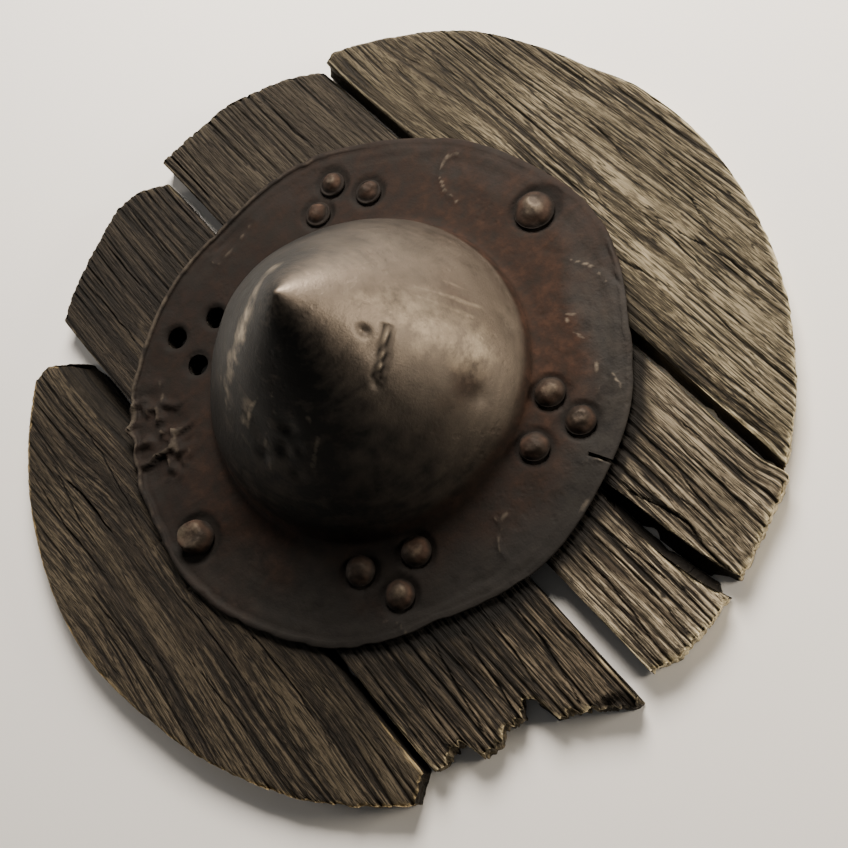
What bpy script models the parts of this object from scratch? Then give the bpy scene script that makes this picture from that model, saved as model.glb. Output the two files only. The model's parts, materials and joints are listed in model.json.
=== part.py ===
"""A round buckler of four old planks under a riveted iron boss, lying on its back.

The origin is on the boss's axis, level with the planks' back faces, which the buckler rests on.
Z points up out of the boss, the grain runs along Y, and the planks lie side by side along X.
The far rim is the one at +Y, the near rim the one at -Y. All lengths are metres.
"""
import math

import bmesh
import bpy
import numpy as np

# The wooden disc
SHIELD_RADIUS = 0.181
PLANK_THICKNESS = 0.012
EDGE_WEAR = 0.0008
RIM_STEP = 4.0
HAND_HOLE_LIP = 0.013

# Open joints between planks, each as it is at the far rim and at the near rim: how far the flange
# laps over the two outer ones, where the middle one runs, and how wide they have opened
FLANGE_LAP_AB = (0.0275, 0.0270)
FLANGE_LAP_CD = (0.0230, 0.0300)
JOINT_BC_X = (-0.0033, -0.0041)
JOINT_AB_WIDTH = (0.0040, 0.0050)
JOINT_BC_WIDTH = (0.0045, 0.0096)
JOINT_CD_WIDTH = (0.0050, 0.0025)

# What the rim has lost: angle from +X in degrees, and how deep the wood is gone there
WEAR_A = ((-62, 0.0), (-10, 0.003), (4, 0.004), (12, 0.007), (23, 0.005), (32, 0.002), (56, 0.004),
          (58, 0.012))
WEAR_B = ((-89, 0.006), (-86, 0.002), (-60, 0.0), (55, 0.026), (58, 0.014), (64, 0.009), (71, 0.007),
          (76, 0.005), (81, 0.007), (91, 0.007))
WEAR_C = ((-122, 0.010), (-118, 0.014), (-117, 0.018), (-115.5, 0.018), (-114, 0.011), (-111, 0.013),
          (-110, 0.017), (-107, 0.019), (-106, 0.025), (-104.4, 0.024), (-102.7, 0.013), (-99.4, 0.010),
          (-94, 0.0), (92, 0.020), (97, 0.008), (101, 0.005), (109, 0.007), (118, 0.008), (123, 0.010))
WEAR_D = ((-180, 0.003), (-165, 0.005), (-150, 0.003), (-138, 0.001), (-124, 0.0), (-122.3, 0.012),
          (127.5, 0.050), (129.3, 0.017), (130.6, 0.008), (133, 0.003), (149, 0.003), (180, 0.003))

# The split in plank B, open at the near rim
SPLIT_X = 0.038
SPLIT_LENGTH = 0.082
SPLIT_WIDTH = 0.009
SPLIT_LEAN = 0.010

# The shoulder split off plank D along its inner edge, from the far rim to under the flange
SHOULDER_WIDTH = 0.0155
SHOULDER_DEPTH = 0.008
SHOULDER_END_Y = 0.030

# The boss: a beaten cone with a flat flange and a rolled rim
DOME_RADIUS = 0.0755
DOME_HEIGHT = 0.092
DOME_FULLNESS = 1.2
SHEET_THICKNESS = 0.002
FLANGE_RADIUS = 0.118
RIM_BEAD_RADIUS = 0.0022
BOSS_SIDES = 56
SLIT_ANGLE = -66.0
SLIT_LENGTH = 0.011
SLIT_WIDTH = 0.0016

# Rivets of the flange: angle in degrees, and place between the dome's foot (0) and the rim bead (1)
CLUSTER_FAR_B = ((59.6, 0.74), (49.0, 0.35), (65.8, 0.20))
CLUSTER_NEAR_B = ((-59.0, 0.68), (-52.9, 0.03), (-69.2, 0.07))
CLUSTER_NEAR_C = ((-121.5, 0.70), (-131.7, 0.18), (-114.7, 0.03))
EMPTY_FAR_C = ((121.8, 0.80), (128.9, 0.14), (112.7, 0.12))
RIVET_HEAD_RADIUS = 0.0068
RIVET_HEAD_HEIGHT = 0.0040
RIVET_SHANK_RADIUS = 0.0030
RIVET_TAIL_RADIUS = 0.0046
RIVET_TAIL_THICKNESS = 0.0012
EMPTY_HOLE_RADIUS = 0.0052
RIVET_SIDES = 14

# The two large rivets that hold the grip: one domed, one worn down to a stub
GRIP_RIVET_HEAD_RADIUS = 0.0094
GRIP_RIVET_HEAD_HEIGHT = 0.0050
GRIP_STUB_HEAD_RADIUS = 0.0080
GRIP_STUB_HEAD_HEIGHT = 0.0065
GRIP_RIVET_SHANK_RADIUS = 0.0042
GRIP_RIVET_TAIL_RADIUS = 0.0064
DOMED = 2.2
WORN_FLAT = 6.0

# The grip: a wooden bar let into the planks' backs, thicker where the hand closes on it
GRIP_WIDTH = 0.028
GRIP_END_THICKNESS = 0.006
GRIP_HAND_THICKNESS = 0.019
GRIP_HAND_LENGTH = 0.070
GRIP_END_MARGIN = 0.020
GRIP_ROUNDING = 0.0022

# Spaces between neighbours
GAP = 0.0003
RIVET_PLAY = 0.0004

flange_underside = PLANK_THICKNESS + GAP
flange_top = flange_underside + SHEET_THICKNESS
hand_hole_radius = DOME_RADIUS - HAND_HOLE_LIP
joint_ab_x = tuple(FLANGE_RADIUS - lap for lap in FLANGE_LAP_AB)
joint_cd_x = tuple(lap - FLANGE_RADIUS for lap in FLANGE_LAP_CD)
joint_ab = tuple(zip(joint_ab_x, JOINT_AB_WIDTH))
joint_bc = tuple(zip(JOINT_BC_X, JOINT_BC_WIDTH))
joint_cd = tuple(zip(joint_cd_x, JOINT_CD_WIDTH))


def material(name, colour, roughness, metallic):
    """Return a plain material of one colour."""
    made = bpy.data.materials.new(name)
    made.use_nodes = True
    shader = made.node_tree.nodes["Principled BSDF"]
    shader.inputs["Base Color"].default_value = (*colour, 1.0)
    shader.inputs["Roughness"].default_value = roughness
    shader.inputs["Metallic"].default_value = metallic
    return made


def weathered_oak(name):
    return material(name, (0.105, 0.080, 0.055), 0.85, 0.0)


def rusted_iron(name):
    return material(name, (0.085, 0.066, 0.055), 0.55, 0.9)


def placed(name, mesh, collection, location=(0.0, 0.0, 0.0), rotation=(0.0, 0.0, 0.0)):
    """Link a new object with this mesh into a collection."""
    made = bpy.data.objects.new(name, mesh)
    made.location = location
    made.rotation_euler = rotation
    collection.objects.link(made)
    return made


def mesh_of(source):
    """Return the finished mesh of an object with its modifiers or curve settings, and remove the object."""
    bpy.context.collection.objects.link(source)
    graph = bpy.context.evaluated_depsgraph_get()
    mesh = bpy.data.meshes.new_from_object(source.evaluated_get(graph))
    bpy.data.objects.remove(source)
    cleaned = bmesh.new()
    cleaned.from_mesh(mesh)
    bmesh.ops.remove_doubles(cleaned, verts=cleaned.verts, dist=0.00001)
    bmesh.ops.recalc_face_normals(cleaned, faces=cleaned.faces)
    cleaned.to_mesh(mesh)
    cleaned.free()
    return mesh


def slab(points, thickness, wear):
    """Return a flat outline as a mesh of this thickness about z = 0, with its edges worn off."""
    curve = bpy.data.curves.new("outline", "CURVE")
    curve.dimensions = "2D"
    curve.fill_mode = "BOTH"
    curve.extrude = thickness / 2 - wear
    curve.bevel_depth = wear
    curve.bevel_resolution = 0
    curve.offset = -wear
    spline = curve.splines.new("POLY")
    spline.points.add(len(points) - 1)
    for point, (x, y) in zip(spline.points, points):
        point.co = (x, y, 0.0, 1.0)
    spline.use_cyclic_u = True
    return mesh_of(bpy.data.objects.new("outline", curve))


def turned(profile, sides):
    """Return the mesh that a profile of (radius, height) points sweeps around Z, from top to bottom."""
    mesh = bpy.data.meshes.new("profile")
    edges = [(number, number + 1) for number in range(len(profile) - 1)]
    mesh.from_pydata([(radius, 0.0, height) for radius, height in profile], edges, [])
    source = bpy.data.objects.new("profile", mesh)
    screw = source.modifiers.new("turn", "SCREW")
    screw.steps = sides
    screw.render_steps = sides
    screw.use_merge_vertices = True
    screw.merge_threshold = 0.00001
    finished = mesh_of(source)
    finished.shade_smooth()
    finished.set_sharp_from_angle(angle=math.radians(35))
    return finished


def as_cutter(name, mesh, location=(0.0, 0.0, 0.0), rotation=(0.0, 0.0, 0.0)):
    """Place a mesh that only cuts."""
    made = placed(name, mesh, cutters, location, rotation)
    made.hide_render = True
    made.display_type = "WIRE"
    return made


def cut(target, cutter):
    """Take the cutter's volume out of the target."""
    boolean = target.modifiers.new(cutter.name, "BOOLEAN")
    boolean.operation = "DIFFERENCE"
    boolean.object = cutter


def around(angle, radius):
    """Return the point at an angle in degrees and a distance from the axis."""
    return radius * math.cos(math.radians(angle)), radius * math.sin(math.radians(angle))


def worn_rim(wear):
    """Return the disc's whole outline, set back by the wear at each angle."""
    angles = set(np.arange(-180.0, 180.0, RIM_STEP)) | {angle for angle, _ in wear if angle < 180}
    worn_angles = [angle for angle, _ in wear]
    depths = [depth for _, depth in wear]
    return [around(angle, SHIELD_RADIUS - np.interp(angle, worn_angles, depths)) for angle in sorted(angles)]


def beside_joint(points, joint, side):
    """Keep the part of an outline that lies on one side (+1 or -1 along X) of an open joint."""
    (far_x, far_width), (near_x, near_width) = joint
    far_edge = far_x + side * far_width / 2
    near_edge = near_x + side * near_width / 2

    def past_edge(point):
        share = (point[1] / SHIELD_RADIUS + 1) / 2
        return side * (point[0] - near_edge - (far_edge - near_edge) * share)

    kept = []
    for here, after in zip(points, points[1:] + points[:1]):
        start, end = past_edge(here), past_edge(after)
        if start >= 0:
            kept.append(here)
        if start * end < 0:
            share = start / (start - end)
            kept.append((here[0] + (after[0] - here[0]) * share, here[1] + (after[1] - here[1]) * share))
    return kept


def spaced(points, least):
    """Drop the points of an outline that lie closer than this to the one before."""
    kept = [points[0]]
    for point in points[1:]:
        if math.dist(point, kept[-1]) > least and math.dist(point, points[0]) > least:
            kept.append(point)
    return kept


def plank(name, wear, joints):
    """Make one plank of the disc from its rim wear and the joints beside it."""
    points = worn_rim(wear)
    for joint, side in joints:
        points = beside_joint(points, joint, side)
    points = spaced(points, EDGE_WEAR * 2)
    made = placed(name, slab(points, PLANK_THICKNESS, EDGE_WEAR), buckler, (0.0, 0.0, PLANK_THICKNESS / 2))
    made.data.materials.append(weathered_oak(name))
    return made


def split_cutter():
    """Return the long wedge that opens plank B at the near rim, curving outwards along the grain."""
    left, right = [], []
    for share in (0.12, 0.25, 0.4, 0.55, 0.7, 0.85, 1.05):
        middle = SPLIT_X + SPLIT_LEAN * share ** 3
        half = SPLIT_WIDTH / 2 * (1 - (1 - min(share, 1.0)) ** 4)
        y = SPLIT_LENGTH * (1 - share) - SHIELD_RADIUS
        left.append((middle - half, y))
        right.append((middle + half, y))
    points = [(SPLIT_X, SPLIT_LENGTH - SHIELD_RADIUS)] + left + right[::-1]
    wedge = slab(points, PLANK_THICKNESS * 2, 0.0)
    return as_cutter("split", wedge, (0.0, 0.0, PLANK_THICKNESS / 2))


def shoulder_cutter():
    """Return the long prism whose slanting face is left where plank D's inner edge split off."""
    edge = joint_cd[0][0] - joint_cd[0][1] / 2
    steepness = SHOULDER_DEPTH / SHOULDER_WIDTH
    outside = joint_cd[0][1] * 2
    above = PLANK_THICKNESS / 2
    points = (
        (edge - SHOULDER_WIDTH - above / steepness, PLANK_THICKNESS + above),
        (edge + outside, PLANK_THICKNESS - SHOULDER_DEPTH - outside * steepness),
        (edge + outside, PLANK_THICKNESS + above),
    )
    length = SHIELD_RADIUS - SHOULDER_END_Y
    prism = slab(points, length, 0.0)
    return as_cutter("shoulder", prism, (0.0, SHOULDER_END_Y + length / 2, 0.0), (math.radians(90), 0.0, 0.0))


def hole_profile(radius, foot_radius, foot_height):
    """Return the profile of a hole through everything above a wider foot at the back."""
    above, below = flange_top * 1.5, -PLANK_THICKNESS / 2
    if foot_height == 0:
        return ((0.0, above), (radius, above), (radius, below), (0.0, below))
    return ((0.0, above), (radius, above), (radius, foot_height), (foot_radius, foot_height),
            (foot_radius, below), (0.0, below))


def sheet_inside(outside):
    """Return the inner face of a sheet whose outer face is a profile from foot to tip."""
    points = np.array(outside)
    along = np.gradient(points, axis=0)
    inwards = np.stack([-along[:, 1], along[:, 0]], 1) / np.hypot(*along.T)[:, None]
    inside = points + inwards * SHEET_THICKNESS
    inside[-1] = 0.0, points[-1, 1] - SHEET_THICKNESS / abs(inwards[-1, 1])
    return [(float(radius), float(height)) for radius, height in inside]


def boss():
    """Make the hollow dome, its flange and its rolled rim from one turned sheet."""
    power = DOME_FULLNESS
    rises = [math.sin(math.radians(angle)) for angle in (0, 4, 10, 18, 28, 38, 49, 61, 75, 90)]
    outside = [(DOME_RADIUS * (1 - rise ** power) ** (1 / power), flange_top + DOME_HEIGHT * rise)
               for rise in rises]
    bead_x = FLANGE_RADIUS - RIM_BEAD_RADIUS
    bead_z = flange_underside + RIM_BEAD_RADIUS
    bead = [(bead_x + RIM_BEAD_RADIUS * math.cos(math.radians(angle)),
             bead_z + RIM_BEAD_RADIUS * math.sin(math.radians(angle))) for angle in (140, 94, 48, 2, -44, -90)]
    bead_foot = (bead_x - RIM_BEAD_RADIUS, flange_top)
    inner_foot = (DOME_RADIUS - SHEET_THICKNESS, flange_underside)
    profile = outside[::-1] + [bead_foot] + bead + [inner_foot] + sheet_inside(outside)
    made = placed("boss", turned(profile, BOSS_SIDES), buckler, rotation=(0.0, 0.0, math.pi / BOSS_SIDES))
    made.data.materials.append(rusted_iron("boss"))
    return made


def slit_cutter():
    """Return the saw-like nick that runs in from the flange's rim."""
    slit = bmesh.new()
    bmesh.ops.create_cube(slit, size=1.0)
    bmesh.ops.scale(slit, vec=(SLIT_LENGTH * 2, SLIT_WIDTH, RIM_BEAD_RADIUS * 6), verts=slit.verts)
    mesh = bpy.data.meshes.new("slit")
    slit.to_mesh(mesh)
    slit.free()
    x, y = around(SLIT_ANGLE, FLANGE_RADIUS)
    return as_cutter("slit", mesh, (x, y, flange_top), (0.0, 0.0, math.radians(SLIT_ANGLE)))


def rivet(name, place, head, shank_radius, tail_radius):
    """Make a rivet whose head sits on the flange and whose tail is spread flush with the back."""
    head_radius, head_height, crown = head
    seat = flange_top + GAP
    shares = (0.0, 0.4, 0.65, 0.85, 0.96, 1.0)
    top = [(head_radius * share, seat + head_height * (1 - share ** crown)) for share in shares]
    tail_top = GAP + RIVET_TAIL_THICKNESS
    profile = top + [(shank_radius, seat), (shank_radius, tail_top), (tail_radius, tail_top),
                     (tail_radius, GAP), (0.0, GAP)]
    made = placed(name, turned(profile, RIVET_SIDES), buckler, (*place, 0.0))
    made.data.materials.append(rusted_iron(name))


def riveted(name, place, layers, tail_layer, head, shank_radius, tail_radius):
    """Put a rivet through several layers, with room for its tail in the one at the back."""
    rivet(name, place, head, shank_radius, tail_radius)
    straight = hole_profile(shank_radius + RIVET_PLAY, 0.0, 0.0)
    stepped = hole_profile(shank_radius + RIVET_PLAY, tail_radius + RIVET_PLAY, RIVET_TAIL_THICKNESS + 2 * GAP)
    for layer in layers:
        cut(layer, as_cutter(f"{name}_hole_{layer.name}", turned(straight, RIVET_SIDES), (*place, 0.0)))
    cut(tail_layer, as_cutter(f"{name}_seat", turned(stepped, RIVET_SIDES), (*place, 0.0)))


def on_flange(angle, share, head_radius):
    """Return the place of a rivet head between the dome's foot and the rim bead."""
    inner = DOME_RADIUS + head_radius + 2 * GAP
    outer = FLANGE_RADIUS - 2 * RIM_BEAD_RADIUS - head_radius - 2 * GAP
    return around(angle, inner + (outer - inner) * share)


def grip_bar(rivet_distance):
    """Make the grip, flush with the planks' backs and rising into the dome under the hand."""
    reach = rivet_distance + GRIP_END_MARGIN
    start = hand_hole_radius - GRIP_ROUNDING
    end = GRIP_HAND_LENGTH / 2
    rise = GRIP_HAND_THICKNESS - GRIP_END_THICKNESS
    slope = [(start + (end - start) * step / 8,
              GRIP_END_THICKNESS + rise * (1 - math.cos(math.pi * step / 8)) / 2) for step in range(9)]
    right = [(reach, 0.0), (reach, GRIP_END_THICKNESS)] + slope
    outline = right + [(-x, z) for x, z in right[::-1]]
    mesh = slab(outline, GRIP_WIDTH, GRIP_ROUNDING)
    made = placed("grip_bar", mesh, buckler, rotation=(math.radians(90), 0.0, 0.0))
    made.data.materials.append(weathered_oak("grip_bar"))
    return made, reach


def housing_cutter(reach):
    """Return the shallow groove that the grip's ends lie in."""
    groove = bmesh.new()
    bmesh.ops.create_cube(groove, size=1.0)
    length = 2 * (reach + GAP)
    bmesh.ops.scale(groove, vec=(length, GRIP_WIDTH + 2 * GAP, 2 * (GRIP_END_THICKNESS + GAP)), verts=groove.verts)
    mesh = bpy.data.meshes.new("housing")
    groove.to_mesh(mesh)
    groove.free()
    return as_cutter("housing", mesh)


for old in list(bpy.data.objects):
    bpy.data.objects.remove(old)
buckler = bpy.data.collections.new("buckler")
cutters = bpy.data.collections.new("cutters")
bpy.context.scene.collection.children.link(buckler)
bpy.context.scene.collection.children.link(cutters)

plank_a = plank("plank_a", WEAR_A, ((joint_ab, 1),))
plank_b = plank("plank_b", WEAR_B, ((joint_ab, -1), (joint_bc, 1)))
plank_c = plank("plank_c", WEAR_C, ((joint_bc, -1), (joint_cd, 1)))
plank_d = plank("plank_d", WEAR_D, ((joint_cd, -1),))

grip_place = on_flange(0.0, 1.0, GRIP_RIVET_HEAD_RADIUS)
grip, grip_reach = grip_bar(grip_place[0])
housing = housing_cutter(grip_reach)
hand_hole = as_cutter("hand_hole", turned(hole_profile(hand_hole_radius, 0.0, 0.0), BOSS_SIDES))
for wood in (plank_a, plank_b, plank_c, plank_d):
    cut(wood, housing)
for wood in (plank_b, plank_c):
    cut(wood, hand_hole)
cut(plank_b, split_cutter())
cut(plank_d, shoulder_cutter())

dome = boss()
cut(dome, slit_cutter())
for cluster, name, wood in ((CLUSTER_FAR_B, "rivet_far_b", plank_b),
                            (CLUSTER_NEAR_B, "rivet_near_b", plank_b),
                            (CLUSTER_NEAR_C, "rivet_near_c", plank_c)):
    for number, (angle, share) in enumerate(cluster, 1):
        place = on_flange(angle, share, RIVET_HEAD_RADIUS)
        riveted(f"{name}_{number}", place, (dome,), wood, (RIVET_HEAD_RADIUS, RIVET_HEAD_HEIGHT, DOMED),
                RIVET_SHANK_RADIUS, RIVET_TAIL_RADIUS)
for number, (angle, share) in enumerate(EMPTY_FAR_C, 1):
    place = on_flange(angle, share, RIVET_HEAD_RADIUS)
    empty = turned(hole_profile(EMPTY_HOLE_RADIUS, 0.0, 0.0), RIVET_SIDES)
    for layer in (dome, plank_c):
        cut(layer, as_cutter(f"empty_hole_{number}_{layer.name}", empty, (*place, 0.0)))
for name, side, wood, head in (
        ("grip_rivet_a", 1, plank_a, (GRIP_RIVET_HEAD_RADIUS, GRIP_RIVET_HEAD_HEIGHT, DOMED)),
        ("grip_rivet_d", -1, plank_d, (GRIP_STUB_HEAD_RADIUS, GRIP_STUB_HEAD_HEIGHT, WORN_FLAT))):
    riveted(name, (side * grip_place[0], 0.0), (dome, wood), grip, head, GRIP_RIVET_SHANK_RADIUS,
            GRIP_RIVET_TAIL_RADIUS)
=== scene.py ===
import itertools
import json
import math

import bpy
import numpy as np
from mathutils import Matrix, Vector, kdtree


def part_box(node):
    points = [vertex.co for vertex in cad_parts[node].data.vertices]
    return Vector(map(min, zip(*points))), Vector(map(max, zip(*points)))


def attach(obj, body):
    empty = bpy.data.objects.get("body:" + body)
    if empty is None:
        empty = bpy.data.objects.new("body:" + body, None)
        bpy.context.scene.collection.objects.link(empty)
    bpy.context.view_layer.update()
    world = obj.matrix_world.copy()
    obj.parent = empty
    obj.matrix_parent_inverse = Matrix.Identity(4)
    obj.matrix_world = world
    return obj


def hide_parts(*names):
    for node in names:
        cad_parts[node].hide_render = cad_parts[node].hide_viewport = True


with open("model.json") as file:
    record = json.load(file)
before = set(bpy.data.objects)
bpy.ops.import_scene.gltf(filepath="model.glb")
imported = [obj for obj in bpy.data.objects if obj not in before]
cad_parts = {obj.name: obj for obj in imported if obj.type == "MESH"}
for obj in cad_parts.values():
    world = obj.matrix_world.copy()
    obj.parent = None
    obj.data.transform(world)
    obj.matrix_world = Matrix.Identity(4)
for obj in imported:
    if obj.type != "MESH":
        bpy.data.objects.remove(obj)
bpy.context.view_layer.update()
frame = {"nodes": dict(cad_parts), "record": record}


# Where it is seen from, and its light
# The buckler lies on its back on a plain pale floor. The camera stands over its near rim, turned so
# that the planks run from the upper left to the lower right of the picture.
CAMERA_PLACE = Vector((0.01266, -0.22617, 0.42532))
CAMERA_AIM = Vector((0.00345, -0.03331, 0.006))
CAMERA_ROLL_DEG = -46.70
LENS_MM = 45.0
FLOOR_SIZE = 6.0
FLOOR_DROP = 0.0002
LIT_POINT = Vector((0.0, 0.0, 0.02))
# azimuth and elevation in degrees, distance and width in metres, watts, colour
LIGHTS = (
    ("key", 40, 42, 0.80, 0.40, 17.8, "FFF4E6"),
    ("right_low", -38, 16, 0.85, 0.26, 5.3, "FFF1DC"),
    ("far_fill", 95, 30, 1.00, 0.40, 0.8, "F6F2EC"),
    ("left_rim", 136, 13, 0.90, 0.20, 1.7, "FBF0E2"),
)
WORLD_COLOUR = "CFCECC"
WORLD_STRENGTH = 0.11


def linear(hex_colour):
    """Turn an sRGB hex colour to the linear RGBA that the nodes take."""
    parts = [int(hex_colour[at:at + 2], 16) / 255 for at in (0, 2, 4)]
    return tuple(p / 12.92 if p <= 0.04045 else ((p + 0.055) / 1.055) ** 2.4 for p in parts) + (1.0,)


def node(tree, kind, inputs=None, out=0, stops=(), **settings):
    """Add a node and return one of its outputs: its settings, its sockets, and a colour ramp's stops."""
    made = tree.nodes.new("ShaderNode" + kind)
    for name, value in settings.items():
        setattr(made, name, value)
    for socket, value in (inputs or {}).items():
        if isinstance(value, bpy.types.NodeSocket):
            tree.links.new(value, made.inputs[socket])
        else:
            made.inputs[socket].default_value = value
    for number, (place, colour) in enumerate(stops):
        ramp = made.color_ramp.elements
        stop = ramp[number] if number < len(ramp) else ramp.new(place)
        stop.position = place
        stop.color = linear(colour)
    return made.outputs[out]


def new_material(name):
    """Start a material and return it with its tree and its Principled shader."""
    made = bpy.data.materials.new(name)
    made.use_nodes = True
    return made, made.node_tree, made.node_tree.nodes["Principled BSDF"]


bpy.ops.object.select_all(action="DESELECT")
bpy.ops.object.camera_add(location=CAMERA_PLACE)
camera = bpy.context.object
camera.name = "camera"
camera.data.lens = LENS_MM
camera.data.clip_start = 0.01
camera_turn = (CAMERA_AIM - CAMERA_PLACE).to_track_quat("-Z", "Y").to_matrix()
camera_turn = camera_turn @ Matrix.Rotation(math.radians(CAMERA_ROLL_DEG), 3, "Z")
camera.rotation_euler = camera_turn.to_euler()
bpy.context.scene.camera = camera

for name, azimuth, elevation, distance, width, watts, tint in LIGHTS:
    level = distance * math.cos(math.radians(elevation))
    place = LIT_POINT + Vector((
        level * math.cos(math.radians(azimuth)),
        level * math.sin(math.radians(azimuth)),
        distance * math.sin(math.radians(elevation))))
    bpy.ops.object.light_add(type="AREA", location=place)
    lamp = bpy.context.object
    lamp.name = name
    lamp.data.size = width
    lamp.data.energy = watts
    lamp.data.color = linear(tint)[:3]
    lamp.rotation_euler = (LIT_POINT - place).to_track_quat("-Z", "Y").to_euler()

world = bpy.data.worlds.new("studio")
world.use_nodes = True
world.node_tree.nodes["Background"].inputs["Color"].default_value = linear(WORLD_COLOUR)
world.node_tree.nodes["Background"].inputs["Strength"].default_value = WORLD_STRENGTH
bpy.context.scene.world = world

bpy.ops.object.select_all(action="DESELECT")
bpy.ops.mesh.primitive_plane_add(size=FLOOR_SIZE, location=(0.0, 0.0, -FLOOR_DROP))
floor = bpy.context.object
floor.name = "floor"
floor_paper, tree, shader = new_material("matt_white_studio_paper")
shader.inputs["Base Color"].default_value = linear("F7F6F4")
shader.inputs["Roughness"].default_value = 0.9
shader.inputs["Specular IOR Level"].default_value = 0.2
floor.data.materials.append(floor_paper)


# Plank A
# The right outer plank: old oak, riven and planed, never varnished. Weather has washed the soft
# spring wood out between the hard rings, so its face is furrowed along the grain and checked.
# All lengths of the wood's relief are in millimetres.
MM = 0.001
# the noise's table of random numbers has this many a side
TABLE_SIDE = 64
# a mesh cell across the grain in metres, and how many times longer it is along the grain
OUTER_PLANK_VOXEL = 0.00042
MIDDLE_PLANK_VOXEL = 0.000455
ALONG_STRETCH = 4.0
BACK_RELIEF = 0.25
WALL_RELIEF = 0.50
EDGE_DROP = 0.9
BOSS_REACH = 117.0
# the walls of the gap between B and C, which lies at this X, stay upright: it is open in the photo
CLEAR_GAP = -3.7
# no furrow comes nearer to the back than this
LEAST_LEFT = 1.0
# a leaning wall stops this far short of its gap's middle, and its lean fades before this radius
HALF_SEAM = 0.15
LEAN_END = 177.0
# a wall belongs to a gap if it is no farther than this from the gap's middle
GAP_REACH = 12.0
# the middle of the gap between A and B, as a line from its near end to its far end
MIDDLE_AB = ((91.0, -181), (90.5, 181))


def lumps(points, period, seed):
    """Return smooth noise from -1 to 1 at points, with a lump to each period along X, Y and Z."""
    table = np.random.default_rng(seed).uniform(-1.0, 1.0, (TABLE_SIDE,) * 3)
    cell = points / np.array(period, float)
    base = np.floor(cell).astype(int)
    share = cell - base
    share = share * share * (3 - 2 * share)
    total = np.zeros(len(points))
    for corner in itertools.product((0, 1), repeat=3):
        weight = np.prod(np.where(np.array(corner) == 1, share, 1 - share), axis=1)
        i, j, k = ((base + corner) % TABLE_SIDE).T
        total += weight * table[i, j, k]
    return total


def points_of(piece):
    """Return a piece's points in millimetres and their normals."""
    count = len(piece.data.vertices)
    points, normals = np.empty(count * 3), np.empty(count * 3)
    piece.data.vertices.foreach_get("co", points)
    piece.data.vertex_normals.foreach_get("vector", normals)
    return points.reshape(-1, 3) / MM, normals.reshape(-1, 3)


def put_points(piece, points):
    """Move a piece's points to these places, given in millimetres."""
    piece.data.vertices.foreach_set("co", (points * MM).ravel())
    piece.data.update()


def put_attribute(piece, name, values):
    """Store a number, or three of them, at each point for the material to read."""
    kind, field = ("FLOAT", "value") if values.ndim == 1 else ("FLOAT_VECTOR", "vector")
    layer = piece.data.attributes.new(name, kind, "POINT")
    layer.data.foreach_set(field, values.astype(np.float32).ravel())


def solid_copy(node_name, name):
    """Add a copy of a CAD node with its loose triangles merged, and leave it selected alone."""
    bpy.ops.object.select_all(action="DESELECT")
    copy = bpy.data.objects.new(name, frame["nodes"][node_name].data.copy())
    bpy.context.scene.collection.objects.link(copy)
    copy.data.materials.clear()
    copy.select_set(True)
    bpy.context.view_layer.objects.active = copy
    bpy.ops.object.mode_set(mode="EDIT")
    bpy.ops.mesh.select_all(action="SELECT")
    bpy.ops.mesh.remove_doubles(threshold=0.00001)
    bpy.ops.mesh.customdata_custom_splitnormals_clear()
    bpy.ops.object.mode_set(mode="OBJECT")
    return copy


def remeshed(piece, voxel, stretch):
    """Give a piece an even fine mesh whose cells are longer by these factors along X, Y and Z."""
    piece.scale = [1 / factor for factor in stretch]
    bpy.ops.object.transform_apply(location=False, rotation=False, scale=True)
    remesh = piece.modifiers.new("remesh", "REMESH")
    remesh.mode = "VOXEL"
    remesh.voxel_size = voxel
    bpy.ops.object.modifier_apply(modifier=remesh.name)
    piece.scale = stretch
    bpy.ops.object.transform_apply(location=False, rotation=False, scale=True)
    piece.data.shade_smooth()


def off_path(points, path):
    """Return the distance of points from a line through (x, y) places, and the share along it."""
    nearest = np.full(len(points), 1e9)
    along = np.zeros(len(points))
    legs = list(zip(path[:-1], path[1:]))
    for number, (start, end) in enumerate(legs):
        start, leg = np.array(start, float), np.subtract(end, start)
        share = np.clip((points[:, :2] - start) @ leg / (leg @ leg), 0, 1)
        away = np.hypot(*(points[:, :2] - start - share[:, None] * leg).T)
        closer = away < nearest
        nearest = np.where(closer, away, nearest)
        along = np.where(closer, (number + share) / len(legs), along)
    return nearest, along


def carved(points, path, half_width, ends=0.25):
    """Return 1 on a line through (x, y) places, falling to 0 at a half width that narrows at both ends."""
    away, along = off_path(points, path)
    width = half_width * np.clip(np.minimum(along, 1 - along) / ends, 0.15, 1) ** 0.7
    return np.clip(1 - away / width, 0, 1)


def edge_distance(points, normals):
    """Return how far each point is from the plank's side walls."""
    walls = points[np.abs(normals[:, 2]) < 0.5]
    tree = kdtree.KDTree(len(walls))
    for number, (x, y, z) in enumerate(walls):
        tree.insert((x, y, 0.0), number)
    tree.balance()
    return np.array([tree.find((x, y, 0.0))[2] for x, y, z in points])


def ragged(points, across, retreat, pitch, seed, side):
    """Pull the fibres' ends back by their own lengths at the far (+1) or near (-1) rim."""
    column = np.round(points[:, 0] / 0.6).astype(int)
    column -= column.min()
    ends = np.full(column.max() + 1, -1e9)
    np.maximum.at(ends, column, side * points[:, 1])
    inside = ends[column] - side * points[:, 1]
    fibres = lumps(np.stack([across, 0 * across, points[:, 2]], 1), (pitch, 1, 2.6), seed)
    coarse = lumps(np.stack([across, 0 * across, points[:, 2]], 1), (pitch * 4, 1, 7.0), seed + 1)
    reach = retreat * np.clip(0.35 + 0.65 * fibres + 0.45 * coarse, 0, 1.2)
    points[:, 1] -= side * reach * np.clip(1 - inside / (3 * retreat), 0, 1)


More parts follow.
